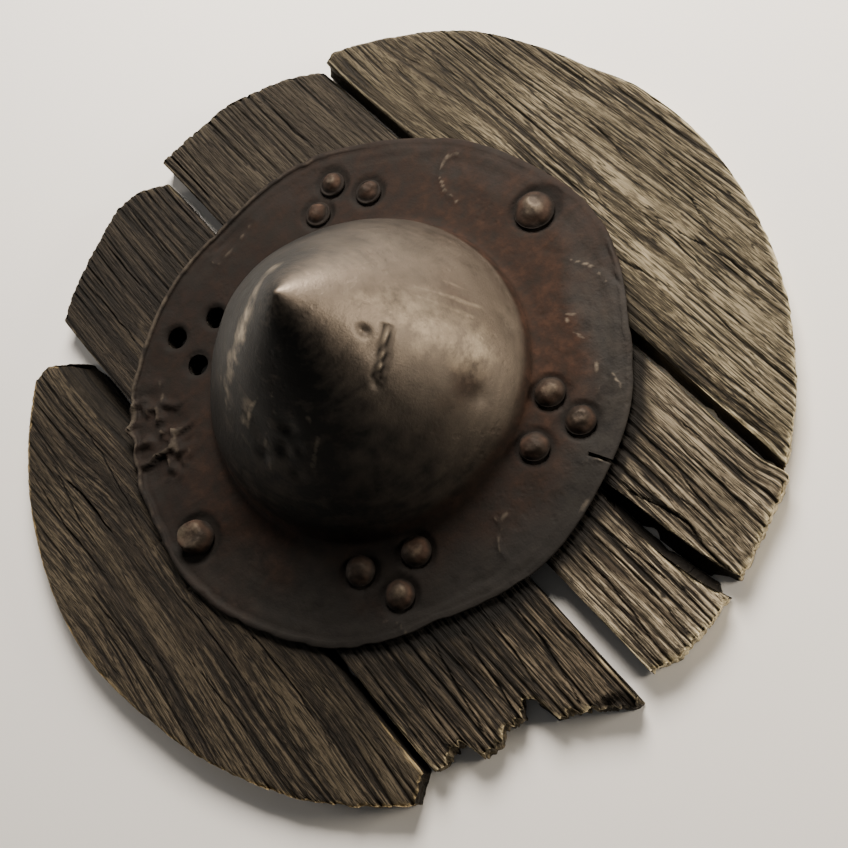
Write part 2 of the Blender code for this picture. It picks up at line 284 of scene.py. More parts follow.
def grooves(across, along, order, seed):
    """Return the depth, sharp part and ridge numbers of furrows about a pitch apart along the grain."""
    pitch, length, width, deep, share = order
    flat = np.stack([across, along, 0 * along], 1)
    phase = across / pitch + 0.6 * lumps(flat, (pitch * 2.4, length, 1), seed)
    line = np.round(phase)
    off = np.abs(phase - line) * pitch
    strength = lumps(np.stack([line, along, 0 * along], 1), (1, length * 0.45, 1), seed + 1)
    strength = np.clip(share + 1.1 * strength, 0, 1)
    sharp = strength * np.exp(-(off / width) ** 2)
    bowl = strength * np.clip(1 - 2 * off / pitch, 0, 1) ** 2
    return deep * (0.62 * sharp + 0.38 * bowl), sharp, np.floor(phase)


def weathered(piece, look):
    """Furrow, crack and wear a plank's fine mesh, and store what its material reads."""
    points, normals = points_of(piece)
    seed = look["seed"]
    flat = points * (1, 1, 0)
    x, y = points[:, 0].copy(), points[:, 1].copy()
    top = np.clip((normals[:, 2] - 0.2) / 0.5, 0, 1)
    back = np.clip((-normals[:, 2] - 0.2) / 0.5, 0, 1)
    wall = 1 - top - back
    radius = np.hypot(x, y)
    rim_wall = wall * np.clip(((normals[:, 0] * x + normals[:, 1] * y) / radius - 0.35) / 0.3, 0, 1)
    gap_wall = wall - rim_wall
    edge = edge_distance(points, normals)
    at_rim = np.clip((radius - 138) / 14, 0, 1)

    # the grain's own coordinate: X, bent by slow waves and pushed aside by knots
    across = x + look["wander"] * lumps(flat, (48, 120, 1), seed)
    across += look["wander"] * 0.3 * lumps(flat, (15, 50, 1), seed + 1)
    for knot_x, knot_y, reach, push in look["knots"]:
        off = np.hypot(x - knot_x, (y - knot_y) / 3.5)
        across -= push * np.exp(-(off / reach) ** 2) * np.tanh((x - knot_x) / reach * 2)
    grain = np.stack([across, y, 0 * y], 1)

    calm = np.clip(0.75 + 0.55 * lumps(flat, (20, 55, 1), seed + 3), 0.25, 1.1)
    outer = np.clip((radius - 118) / 45, 0, 1)
    calm = np.maximum(calm * (0.85 + 0.40 * outer), 0.95 * outer)
    depth, dirt_and_shadow, tint = np.zeros(len(points)), np.zeros(len(points)), np.zeros(len(points))
    for order in look["furrows"]:
        seed += 4
        down, sharp, ridge = grooves(across, y, order, seed)
        depth += down * calm
        dirt_and_shadow = np.maximum(dirt_and_shadow, sharp * np.clip(calm + 0.1, 0, 1) * np.clip(0.35 + order[3], 0, 1))
        tint += 0.55 * lumps(np.stack([ridge, y, 0 * y], 1), (1, 60, 1), seed + 2)
    depth += look["swell"] * (0.5 + 0.5 * lumps(grain, (11, 75, 1), seed + 4))
    frayed = points.copy()
    frayed[:, 0] += 0.5 * lumps(flat, (2.6, 7, 1), seed + 17)
    for half_width, deep, path in look["cracks"]:
        crack = carved(frayed, path, half_width * 0.8, 0.5)
        depth = np.maximum(depth, deep * crack ** 0.7)
        dirt_and_shadow = np.maximum(dirt_and_shadow, crack ** 0.6)
    for reach, deep, path in look["hollows"]:
        depth += deep * carved(points, path, reach, 0.5) ** 0.7
    shade = np.zeros(len(points))
    for (start_x, start_y), (end_x, end_y), slant in look["shoulders"]:
        leg = np.array((end_x - start_x, end_y - start_y)) / math.hypot(end_x - start_x, end_y - start_y)
        beyond = (x - start_x) * -leg[1] + (y - start_y) * leg[0] + 0.6 * lumps(flat, (5, 12, 1), seed + 21)
        on_leg = np.clip((end_y - y) / (end_y - start_y) * 8, 0, 1)
        fall = np.clip(beyond, 0, 14) * slant * on_leg
        depth = depth * np.clip(1 - fall / 2, 0.3, 1) + fall
        # the shoulder's slanting face is dark: fresh split wood and painted shade
        shade = np.maximum(shade, 0.95 * np.clip(beyond / 0.8, 0, 1) * on_leg)
    # dark places: mostly painted shade and shadow, some darker wood
    for reach, strength, path in look["dark_places"]:
        shade = np.maximum(shade, strength * carved(points, path, reach, 0.3) ** 0.5)
    # darker towards the far end: partly darker wood, partly painted shade where less light falls
    strength, start, reach = look["far_shade"]
    far = np.clip((y - start) / reach + 0.35 * lumps(flat, (16, 40, 1), seed + 16), 0, 1)
    shade = np.maximum(shade, strength * far)
    # painted shadow of the flange on the planks beside it, strongest on the near side
    flange_shadow = np.clip(1.3 - (radius - BOSS_REACH) / (13 + 4 * lumps(flat, (9, 9, 1), seed + 18)), 0, 1)
    shade = np.maximum(shade, look["boss_shade"] * flange_shadow * np.clip(-y / 70, 0.25, 1))
    # a near-black band of painted shadow just under the flange's near edge, stored in the same layer as the
    # dirt
    under_rim_shadow = np.clip(1.3 - (radius - BOSS_REACH) / (6 + 2 * lumps(flat, (9, 9, 1), seed + 18)), 0, 1)
    dirt_and_shadow = np.maximum(dirt_and_shadow, look["boss_shade"] * under_rim_shadow * np.clip(-y / 70, 0, 1))
    chips = np.clip(lumps(points, (3.2, 7, 3), seed + 8) - 0.15, 0, 1) * np.clip(1 - edge / 5, 0, 1) * at_rim
    depth += 1.6 * chips + EDGE_DROP * np.clip(1 - edge / 2.0, 0, 1) ** 2

    depth = np.minimum(depth, np.maximum(points[:, 2] - LEAST_LEFT, 0))
    points[:, 2] -= depth * top
    points[:, 2] += BACK_RELIEF * back * (0.5 + 0.5 * lumps(grain, (3, 40, 1), seed + 6))
    strands = lumps(np.stack([0 * y, y, points[:, 2]], 1), (1, 22, 1.3), seed + 7)
    inwards = WALL_RELIEF * (0.5 + 0.5 * strands) + 0.5 * np.clip(lumps(points, (6, 9, 5), seed + 9), 0, 1)
    points[:, :2] -= normals[:, :2] * (wall * inwards)[:, None]
    # the walls of the gaps and splits lean together at the back, so that little light falls through
    low = np.clip(1 - points[:, 2] / 5.5, 0, 1) * np.clip((radius - 104) / 8, 0, 1)
    low *= np.clip(np.abs(x - CLEAR_GAP) / 4 - 3, 0, 1) * (0.7 + 0.5 * lumps(flat, (4, 9, 1), seed + 20))
    low *= np.clip((LEAN_END - radius) / 9, 0.2, 1)
    upright = points[:, 0].copy()
    leant = upright + normals[:, 0] * look["lean"] * low * gap_wall
    for path in look["gap_middles"]:
        middle = np.interp(y, [place[1] for place in path], [place[0] for place in path])
        to_right = np.maximum(upright, np.minimum(leant, middle - HALF_SEAM))
        to_left = np.minimum(upright, np.maximum(leant, middle + HALF_SEAM))
        stopped = np.where(normals[:, 0] > 0, to_right, to_left)
        leant = np.where(np.abs(x - middle) < GAP_REACH, stopped, leant)
    points[:, 0] = leant
    for spur_x, spur_y, reach, push in look["spurs"]:
        points[:, 0] += push * np.exp(-((x - spur_x) / reach) ** 2 - ((y - spur_y) / reach) ** 2)
    ragged(points, across, look["far_ragged"], look["fibre_pitch"], seed + 10, 1)
    ragged(points, across, look["near_ragged"], look["fibre_pitch"], seed + 12, -1)
    put_points(piece, points)

    band = look["pale_edge"] * (1 + 0.8 * lumps(points, (5, 5, 4), seed + 14)) * at_rim
    pale = np.clip(1.2 - edge / np.maximum(band, 0.25), 0, 1) * top * np.clip(at_rim * 2, 0, 1)
    pale += rim_wall * look["pale_wall"] * np.clip(0.8 + 0.7 * lumps(points, (2.2, 6, 2.2), seed + 15), 0, 1)
    put_attribute(piece, "grain", np.stack([across, y, points[:, 2]], 1) * MM)
    # painted shade on the gaps' walls, darkest low down, put into the dirt layer and the shade layer
    gap_wall_shade = (0.45 + 0.55 * np.clip(low * 2, 0, 1)) * gap_wall
    put_attribute(piece, "dirt_and_shadow", np.clip(dirt_and_shadow * top + gap_wall_shade, 0, 1))
    put_attribute(piece, "worn", np.clip(pale, 0, 1))
    dull_rim = 0.6 * rim_wall * (1 - look["pale_wall"])
    put_attribute(piece, "shade", np.clip(shade + 0.7 * back + dull_rim + gap_wall, 0, 1))
    put_attribute(piece, "tint", np.clip(0.5 + 0.5 * tint, 0, 1))
    crumbled = (radius - 128) / 40 + 0.4 * lumps(flat, (14, 30, 1), seed + 19)
    put_attribute(piece, "rough_end", np.clip(crumbled, 0, 1))


# the stretch along X, Y and Z, the scale, detail and roughness of each noise in the wood
OAK_NOISES = {
    # bundles of fibres 2 mm across and 60 mm long, and in them fibres 0.6 mm across and 6 mm long
    "bundles": ((1.0, 0.035, 0.35), 430.0, 3.0, 0.55),
    "fibres": ((1.0, 0.10, 0.5), 1600.0, 3.0, 0.6),
    # the open pores of the spring wood: dark dashes 0.3 mm wide and 4 mm long, twice as coarse as real
    "pores": ((1.0, 0.07, 0.5), 1400.0, 2.0, 0.5),
    # hair checks that part and meet along the grain, 0.3 mm wide and 1.5 mm apart, wider than real
    "checks": ((1.0, 0.05, 0.3), 520.0, 2.0, 0.5),
    # the crumbling short fibres of the weathered rim: specks 0.8 mm wide and 5 mm long
    "specks": ((1.0, 0.15, 0.6), 1150.0, 3.0, 0.6),
}


def weathered_oak(name, colours, fibre_scale=1.0):
    """Oak gone grey outdoors, open-grained and dry: ridges pale, furrows full of old dirt, matt."""
    made, tree, shader = new_material(name)
    grain = node(tree, "Attribute", out="Vector", attribute_name="grain")
    dirt_and_shadow, worn, shade, tint, rough_end = [
        node(tree, "Attribute", out="Fac", attribute_name=read)
        for read in ("dirt_and_shadow", "worn", "shade", "tint", "rough_end")]
    noise = {}
    for kind, (stretch, scale, detail, roughness) in OAK_NOISES.items():
        drawn = node(tree, "Mapping", {"Vector": grain, "Scale": stretch})
        finer = fibre_scale if kind in ("bundles", "fibres") else 1.0
        noise[kind] = node(tree, "TexNoise", {
            "Vector": drawn, "Scale": scale * finer, "Detail": detail, "Roughness": roughness})
    fibres, bundles = noise["fibres"], noise["bundles"]
    check_middle = node(tree, "Math", {0: noise["checks"], 1: 0.5}, operation="SUBTRACT")
    check_off = node(tree, "Math", {0: check_middle}, operation="ABSOLUTE")
    checks = node(tree, "MapRange", {
        "Value": check_off, "From Min": 0.008, "From Max": 0.032, "To Min": 0.85, "To Max": 0.0})
    speck_dark = node(tree, "MapRange", {
        "Value": noise["specks"], "From Min": 0.47, "From Max": 0.38, "To Max": 0.55})
    speck_share = node(tree, "Math", {0: speck_dark, 1: rough_end}, operation="MULTIPLY")
    blotches = node(tree, "TexNoise", {
        "Vector": node(tree, "TexCoord", out="Object"), "Scale": 18.0, "Detail": 6.0, "Roughness": 0.62})

    tone_sum = node(tree, "Math", {0: fibres, 1: 1.4, 2: bundles}, operation="MULTIPLY_ADD")
    tinted = node(tree, "Math", {0: tint, 1: 0.7, 2: tone_sum}, operation="MULTIPLY_ADD")
    tone = node(tree, "Math", {0: rough_end, 1: 0.32, 2: tinted}, operation="MULTIPLY_ADD")
    tone_share = node(tree, "MapRange", {"Value": tone, "From Min": 1.17, "From Max": 1.93})
    face = node(tree, "ValToRGB", {"Fac": tone_share}, stops=(
        (0.12, colours["dark"]), (0.48, colours["middle"]), (0.85, colours["light"])))
    stain = node(tree, "MapRange", {"Value": blotches, "From Min": 0.44, "From Max": 0.68, "To Max": 0.6})
    pore_dark = node(tree, "MapRange", {
        "Value": noise["pores"], "From Min": 0.42, "From Max": 0.32, "To Max": 0.55})
    open_grain = node(tree, "Math", {0: pore_dark, 1: checks}, operation="MAXIMUM")
    opened = node(tree, "Math", {0: open_grain, 1: speck_share}, operation="MAXIMUM")
    edge_fibres = node(tree, "Math", {0: fibres, 1: 1.8, 2: -0.15}, operation="MULTIPLY_ADD")
    edge_pale = node(tree, "Math", {0: worn, 1: edge_fibres}, operation="MULTIPLY", use_clamp=True)
    # the shade layer: mostly painted shade and shadow, partly darker wood
    shadow = node(tree, "Math", {0: shade, 1: 0.9}, operation="MULTIPLY", use_clamp=True)
    # dirt in the furrows and cracks, and painted shadow under the flange and on the gaps' walls
    dirt_and_shadow_share = node(tree, "MapRange", {
        "Value": dirt_and_shadow, "From Min": 0.12, "From Max": 0.75, "To Max": 0.92}, interpolation_type="SMOOTHSTEP")
    colour = face
    for share, layer in ((stain, "stain"), (opened, "dirt_and_shadow"), (edge_pale, "edge"), (shadow, "shade"),
                         (dirt_and_shadow_share, "dirt_and_shadow")):
        colour = node(tree, "Mix", {"Factor": share, 6: colour, 7: linear(colours[layer])},
                      out=2, data_type="RGBA")
    tree.links.new(colour, shader.inputs["Base Color"])

    height = node(tree, "Math", {0: bundles, 1: 1.2, 2: fibres}, operation="MULTIPLY_ADD")
    pitted = node(tree, "Math", {0: opened, 1: -0.7, 2: height}, operation="MULTIPLY_ADD")
    bump = node(tree, "Bump", {"Height": pitted, "Strength": 1.0, "Distance": 0.0006})
    tree.links.new(bump, shader.inputs["Normal"])
    shader.inputs["Roughness"].default_value = 0.82
    shader.inputs["Specular IOR Level"].default_value = 0.25
    return made


def finished_plank(node_name, name, look, colours):
    """Make one plank over its CAD solid."""
    piece = solid_copy(node_name, name)
    remeshed(piece, look["voxel"], (1.0, ALONG_STRETCH, 1.0))
    weathered(piece, look)
    piece.data.materials.append(weathered_oak(f"weathered_oak_{name}", colours))
    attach(piece, "root")
    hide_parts(node_name)


# Furrows: pitch, length, width, depth and share of each order. Cracks, hollows and dark places: half
# width, then depth or strength, then the places they run through. The dark places are mostly painted
# shade and shadow beside the flange, the gaps and a hollow, and some darker wood. Lean: how far the
# gaps' walls lean.
LOOK_A = {
    "seed": 110, "voxel": OUTER_PLANK_VOXEL, "far_shade": (0.80, -50, 130), "boss_shade": 0.55,
    "wander": 3.0, "knots": ((118, 92, 16, 4.0), (136, -30, 20, 3.0)),
    "lean": 8.0, "gap_middles": (MIDDLE_AB,), "spurs": ((92, -155, 8, -1.4),), "shoulders": (),
    "furrows": ((4.6, 90, 0.48, 1.05, 0.45), (2.4, 46, 0.40, 0.80, 0.58), (1.5, 24, 0.30, 0.42, 0.55)),
    "swell": 0.6,
    "cracks": (
        (0.9, 2.2, ((151, 20), (150, 7), (149, -3), (145, -20))),
        (0.8, 2.0, ((149, -27), (151, -36), (151, -48), (148, -56), (146, -64))),
        (0.6, 1.2, ((129, 61), (134, 57), (142, 52))),
        (0.7, 1.6, ((147, 72), (145, 51), (144, 34), (143, 15))),
        (0.8, 1.6, ((130, 104), (128, 91), (129, 76))),
        (0.6, 1.2, ((144, 19), (150, 18))),
        (0.7, 1.6, ((162, -21), (159, -34), (159, -44), (158, -57))),
        (0.8, 2.2, ((111, -31), (112, -44), (114, -55), (115, -70))),
        (0.8, 2.0, ((135, -48), (139, -64), (141, -80), (140, -96))),
        (0.8, 2.0, ((133, -34), (133, -51), (132, -66), (130, -80))),
        (0.7, 1.4, ((162, 44), (166, 27), (167, 12), (167, -2))),
        (0.7, 1.6, ((165, -44), (163, -56), (161, -67), (157, -79))),
        # the long raised thread of the grain, left between two furrows
        (1.3, 1.0, ((123.2, 98), (123.4, 77), (124.2, 56), (124.2, 28), (123.2, 5), (123.2, -13),
                    (121, -30))),
        (1.1, 0.9, ((127.0, 98), (127.2, 77), (128.0, 56), (128.0, 28), (127.0, 5), (127.0, -13),
                    (125, -30))),
        (0.8, 1.8, ((106, 10), (104, -20), (105, -52), (103, -84))),
        (0.8, 1.8, ((121, -72), (120, -92), (117, -116))),
        (0.7, 1.6, ((99, -40), (98, -64), (98, -92))),
    ),
    "hollows": ((9, 0.9, ((112, 118), (111, 95), (113, 78))),),
    "dark_places": ((15, 0.45, ((122, 116), (133, 92), (136, 70))),
                    (9, 0.35, ((104, 104), (100, 70), (98, 40)))),
    "pale_edge": 1.4, "pale_wall": 0.9,
    "far_ragged": 0.8, "near_ragged": 1.2, "fibre_pitch": 1.2,
}
GREY_OAK = {"light": "958A72", "middle": "51493A", "dark": "2A241B", "stain": "464031",
            "dirt_and_shadow": "14110D", "edge": "DCCFAA", "shade": "2C261C"}
finished_plank("plank_a", "plank_a_weathered", LOOK_A, GREY_OAK)


# Plank B
# The right middle plank, cut away round the hand hole, split at the near rim and carrying two
# clusters of rivets. Its far end is darker and washed into even ribs, its near end is furrowed deep.
# the middle of the split at the near rim
MIDDLE_SPLIT = ((48.0, -181), (43.1, -164.6), (40.2, -148.2), (38.6, -131.8), (38.1, -115.4), (38.0, -99))
LOOK_B = {
    "seed": 220, "voxel": MIDDLE_PLANK_VOXEL, "far_shade": (1.0, 38, 50), "boss_shade": 0.95,
    "wander": 2.4, "knots": ((52, -120, 12, 2.5),),
    "lean": 9.0, "gap_middles": (MIDDLE_AB, MIDDLE_SPLIT), "spurs": ((86, -158, 9, 3.0),), "shoulders": (),
    "furrows": ((4.4, 120, 0.50, 1.35, 0.65), (2.2, 46, 0.34, 0.75, 0.55), (1.5, 22, 0.28, 0.38, 0.50)),
    "swell": 0.4,
    "cracks": (
        (1.1, 3.4, ((45, -112), (45, -122), (49, -133), (51, -144), (49, -154), (49, -165), (50, -174))),
        (0.9, 2.6, ((64, -110), (64, -124), (61, -138), (60, -152), (61, -166))),
        (0.9, 2.4, ((71, -104), (71, -133), (70, -151), (70, -168))),
        (0.8, 2.2, ((78, -108), (78, -145), (77, -162))),
        (0.7, 2.2, ((55, -126), (57, -142), (56, -162))),
        (0.8, 2.4, ((18, -111), (22, -125), (22, -144), (22, -161), (21, -178))),
        (0.8, 2.4, ((25, -119), (28, -134), (29, -151), (33, -168))),
        (0.8, 1.8, ((21, -153), (23, -157), (26, -158), (31, -158))),
        (0.8, 2.4, ((14, -121), (13, -138), (11, -157), (9, -173))),
        (0.9, 2.6, ((30, 126), (29, 150), (30, 172))),
        (0.9, 2.6, ((58, 112), (57, 130), (58, 156))),
    ),
    "hollows": ((6, 1.3, ((44, -120), (46, -136), (48, -152), (48, -166))),),
    # the first dark place is painted shadow of plank A along the gap
    "dark_places": ((7, 0.50, ((87, -72), (87, -100), (86, -130), (85, -152))),
                    (26, 0.35, ((20, 124), (44, 150), (60, 170))),
                    (9, 0.75, ((2, 176), (3, 150), (2, 120)))),
    "pale_edge": 1.6, "pale_wall": 1.0,
    "far_ragged": 1.0, "near_ragged": 1.6, "fibre_pitch": 1.3,
}
BROWN_GREY_OAK = {"light": "A0947E", "middle": "5D5446", "dark": "2F2820", "stain": "494033",
                  "dirt_and_shadow": "0E0B08", "edge": "DCCEAA", "shade": "1E1913"}
finished_plank("plank_b", "plank_b_weathered", LOOK_B, BROWN_GREY_OAK)


# Plank C
# The left middle plank. Its near end is broken off across the fibres and splintered, and its far
# end is the darkest of the four, darker wood and painted shade, washed into ribs about 4.5 mm apart.
# the middle of the gap between C and D
MIDDLE_CD = ((-88.0, -181), (-95.0, 181))
LOOK_C = {
    "seed": 330, "voxel": MIDDLE_PLANK_VOXEL, "far_shade": (0.85, 45, 60), "boss_shade": 1.0,
    "wander": 2.2, "knots": ((-30, -128, 14, 2.5),),
    "lean": 3.0, "gap_middles": (MIDDLE_CD,), "spurs": (), "shoulders": (),
    "furrows": ((4.2, 130, 0.50, 1.40, 0.70), (2.1, 44, 0.34, 0.75, 0.55), (1.5, 22, 0.28, 0.38, 0.50)),
    "swell": 0.4,
    "cracks": (
        (1.0, 3.0, ((-20, -118), (-21, -134), (-24, -153), (-27, -166))),
        (0.9, 2.8, ((-31, -116), (-33, -134), (-35, -150))),
        (0.9, 2.8, ((-43, -112), (-45, -131), (-48, -148), (-48, -158))),
        (0.9, 2.6, ((-55, -109), (-59, -128), (-62, -148))),
        (0.8, 2.4, ((-72, -98), (-72, -118), (-74, -146))),
        (0.7, 1.6, ((-13, -122), (-13, -139), (-14, -159), (-14, -173))),
        (0.7, 2.2, ((-82, -92), (-83, -112), (-84, -138))),
        (0.9, 2.8, ((-30, 126), (-30, 150), (-29, 172))),
        (0.9, 2.8, ((-50, 118), (-51, 140), (-50, 166))),
        (0.8, 2.4, ((-70, 104), (-70, 124), (-71, 152))),
    ),
    "hollows": ((7, 1.2, ((-52, -122), (-50, -138), (-52, -156))),
                (4, 3.0, ((-22, -171), (-15, -175), (-11, -182)))),
    # the second dark place is painted shadow of the boss, the third painted shade in the broken end's hollow
    "dark_places": ((8, 0.6, ((-93, 140), (-91, 120), (-90, 100))),
                    (30, 0.8, ((-84, -96), (-66, -112), (-40, -122))),
                    (5, 1.0, ((-24, -170), (-15, -175), (-11, -184)))),
    "pale_edge": 1.1, "pale_wall": 0.35,
    "far_ragged": 1.0, "near_ragged": 3.2, "fibre_pitch": 1.5,
}
DARK_OAK = {"light": "5E5445", "middle": "302A22", "dark": "1B1712", "stain": "2E2720",
            "dirt_and_shadow": "0A0806", "edge": "C4B592", "shade": "15110D"}
finished_plank("plank_c", "plank_c_weathered", LOOK_C, DARK_OAK)


# Plank D
# The left outer plank, browner and less washed than the others. A long sliver has split off its
# inner edge and left a slanting shoulder, dark with fresh split wood and painted shade, and one
# deep check runs down from the far end.
LOOK_D = {
    "seed": 440, "voxel": OUTER_PLANK_VOXEL, "far_shade": (0.10, 60, 60), "boss_shade": 0.8,
    "wander": 4.5, "knots": ((-128, 66, 16, 4.0), (-120, -60, 20, 3.0)),
    "lean": 3.0, "gap_middles": (MIDDLE_CD,), "spurs": (), "shoulders": (((-109.5, 126), (-107, 40), 0.35),),
    "furrows": ((6.4, 110, 0.52, 1.00, 0.50), (3.0, 55, 0.38, 0.60, 0.50), (1.6, 24, 0.28, 0.34, 0.50)),
    "swell": 0.8,
    "cracks": (
        (1.5, 4.5, ((-138, 73), (-136, 62), (-136, 51), (-135, 36))),
        (0.9, 1.8, ((-137, 107), (-137, 91), (-137, 71))),
        (0.9, 2.2, ((-150, 90), (-151, 73), (-151, 54), (-150, 36))),
        (0.9, 2.0, ((-117, 117), (-116, 94), (-117, 71), (-120, 44), (-123, 23))),
        (0.9, 2.4, ((-138, 88), (-141, 72), (-144, 54), (-144, 35))),
        (0.8, 2.0, ((-160, 20), (-158, -10), (-155, -36))),
        (0.8, 1.8, ((-128, 0), (-126, -34), (-126, -66))),
        (0.8, 2.0, ((-112, -40), (-111, -70), (-112, -104))),
        (0.8, 1.8, ((-140, -40), (-138, -66), (-138, -92))),
    ),
    "hollows": ((8, 0.9, ((-152, 52), (-150, 30), (-147, 0))),),
    "dark_places": ((16, 0.45, ((-96, -60), (-94, -96), (-98, -130))),),
    "pale_edge": 1.1, "pale_wall": 0.6,
    "far_ragged": 0.8, "near_ragged": 1.4, "fibre_pitch": 1.3,
}
BROWN_OAK = {"light": "4B4336", "middle": "29231C", "dark": "191510", "stain": "2A231A",
             "dirt_and_shadow": "0D0A07", "edge": "B8A37A", "shade": "17130E"}
finished_plank("plank_d", "plank_d_weathered", LOOK_D, BROWN_OAK)


# The grip
# A bar of ash let into the planks' backs and held by the two large rivets, rounded and paler in
# the middle where the hand has closed on it. It can only be seen from behind.
GRIP_VOXEL = 0.0008
grip = solid_copy("grip_bar", "grip_bar_worn")
remeshed(grip, GRIP_VOXEL, (2.0, 1.0, 1.0))
points, normals = points_of(grip)
grip_across = points[:, 1] + 1.2 * lumps(points, (70, 12, 12), 510)
grip_grain = np.stack([grip_across, points[:, 0], points[:, 2]], 1)
grip_lines = np.clip(1 - np.abs(lumps(grip_grain, (1.8, 45, 1.8), 511)) / 0.3, 0, 1)
points -= normals * (0.22 * grip_lines + 0.2 + 0.2 * lumps(points, (16, 9, 9), 512))[:, None]
put_points(grip, points)
put_attribute(grip, "grain", grip_grain * MM)
put_attribute(grip, "dirt_and_shadow", 0.4 * grip_lines)
put_attribute(grip, "worn", np.clip(1 - np.abs(points[:, 0]) / 34, 0, 1) * 0.5)
put_attribute(grip, "shade", np.zeros(len(points)))
put_attribute(grip, "tint", np.full(len(points), 0.5))
put_attribute(grip, "rough_end", np.zeros(len(points)))
HANDLED_ASH = {"light": "8A7355", "middle": "6F5A41", "dark": "4E3D2B", "stain": "4A3826",
               "dirt_and_shadow": "1C140D", "edge": "A58B66", "shade": "4A3826"}
grip.data.materials.append(weathered_oak("hand_worn_ash", HANDLED_ASH, 0.8))
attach(grip, "root")
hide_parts("grip_bar")


# The boss
# One sheet of bloomery iron beaten to a hollow cone that runs out into a flange, its rim rolled
# over. It is dented, pitted, rusted round the dome's foot and rubbed bright on top. Painted
# highlights lie on the dome and the rim, and painted shade on the dome's sides and the flange.
DOME_RADIUS = 75.5
DOME_HEIGHT = 92.0
DOME_FULLNESS = 1.2
SHEET = 2.0
FLANGE_TOP = 14.3
FLANGE_RADIUS = 118.0
BEAD_RADIUS = 1.6
STEP_IN = 7.0
STEP_DROP = 0.5
FILLET = 2.4
OUTER_DOME_RINGS = 78
INNER_DOME_RINGS = 18
FLANGE_RINGS = 22
BOSS_STEPS = 560
SLIT_ANGLE = -66.0
SLIT_LENGTH = 11.0
SLIT_WIDTH = 1.6
EMPTY_HOLES = ("lost_rivet_1", "lost_rivet_2", "lost_rivet_3")
EMPTY_HOLE_RADIUS = 5.2
HOLE_SIDES = 40
RIVET_NODES = [f"rivet_{side}_{number}" for side in ("far_b", "near_b", "near_c") for number in (1, 2, 3)]
SHANK_RADIUS = 3.0
GRIP_SHANK_RADIUS = 4.2
SHANK_PLAY = 0.4
HEAD_RADIUS = 6.8
GRIP_HEAD_RADIUS = 9.4


def traced(name, outline):
    """Draw a piece's half section as one line of edges, from (radius, height) points in millimetres."""
    bpy.ops.object.select_all(action="DESELECT")
    radius, height = outline[0]
    bpy.ops.mesh.primitive_plane_add(size=0.001, location=(radius * MM, 0.0, height * MM))
    made = bpy.context.object
    made.name = name
    bpy.ops.object.transform_apply(location=True, rotation=True, scale=True)
    bpy.ops.object.mode_set(mode="EDIT")
    bpy.ops.mesh.select_all(action="SELECT")
    bpy.ops.mesh.merge(type="CENTER")
    for before, after in zip(outline[:-1], outline[1:]):
        step = ((after[0] - before[0]) * MM, 0.0, (after[1] - before[1]) * MM)
        bpy.ops.mesh.extrude_region_move(TRANSFORM_OT_translate={"value": step})
    return made


def spun(name, outline, steps):
    """Spin a half section round the axis to a closed skin whose faces point outwards."""
    made = traced(name, outline)
    bpy.ops.mesh.select_all(action="SELECT")
    bpy.ops.mesh.spin(steps=steps, angle=math.tau, center=(0.0, 0.0, 0.0), axis=(0.0, 0.0, 1.0))
    bpy.ops.mesh.select_all(action="SELECT")
    bpy.ops.mesh.remove_doubles(threshold=0.00002)
    bpy.ops.mesh.normals_make_consistent(inside=False)
    bpy.ops.object.mode_set(mode="OBJECT")
    made.data.shade_smooth()
    return made


def dome_radius(height):
    """Return the dome's outer radius at a height above the floor."""
    rise = np.clip((height - FLANGE_TOP) / DOME_HEIGHT, 0, 1)
    return DOME_RADIUS * (1 - rise ** DOME_FULLNESS) ** (1 / DOME_FULLNESS)


def dome_line(rings):
    """Return the dome's outer line from its foot to its tip, in even steps along the line."""
    rises = (1 - np.cos(np.linspace(0, math.pi / 2, 2000))) ** 0.8
    heights = FLANGE_TOP + DOME_HEIGHT * rises / rises[-1]
    line = np.stack([dome_radius(heights), heights], 1)
    gone = np.concatenate([[0], np.cumsum(np.hypot(*np.diff(line, axis=0).T))])
    even = np.linspace(0, gone[-1], rings)
    return np.stack([np.interp(even, gone, line[:, 0]), np.interp(even, gone, line[:, 1])], 1)


def boss_outline():
    """Return the sheet's section: over the dome, out along the flange, round the rim and back inside."""
    outside = dome_line(OUTER_DOME_RINGS)
    above_fillet = outside[:, 1] > FLANGE_TOP + FILLET
    foot = dome_radius(FLANGE_TOP + FILLET)
    fillet = [(foot + FILLET * (1 - math.cos(turn)), FLANGE_TOP + FILLET * (1 - math.sin(turn)))
              for turn in np.linspace(0, math.pi / 2, 5)]
    bead_middle = FLANGE_RADIUS - BEAD_RADIUS
    flange = [(radius, FLANGE_TOP) for radius in
              np.linspace(foot + FILLET, bead_middle - BEAD_RADIUS, FLANGE_RINGS)[1:]]
    underside = FLANGE_TOP - SHEET
    bead = [(bead_middle + BEAD_RADIUS * math.cos(turn),
             underside + BEAD_RADIUS + BEAD_RADIUS * math.sin(turn))
            for turn in np.radians(np.linspace(148, -90, 11))]
    inside_line = dome_line(INNER_DOME_RINGS)
    along = np.gradient(inside_line, axis=0)
    inwards = np.stack([-along[:, 1], along[:, 0]], 1) / np.hypot(*along.T)[:, None]
    inner = inside_line + SHEET * inwards
    inner[-1] = 0.0, inside_line[-1, 1] - SHEET / abs(inwards[-1, 1])
    below = [(radius, underside) for radius in np.linspace(bead_middle, DOME_RADIUS - SHEET, 8)[1:-1]]
    lower = [(float(radius), float(height)) for radius, height in inner if height > underside]
    outer = [(float(radius), float(height)) for radius, height in outside[above_fillet][::-1]]
    return outer + fillet + flange + bead + below + [(DOME_RADIUS - SHEET, underside)] + lower


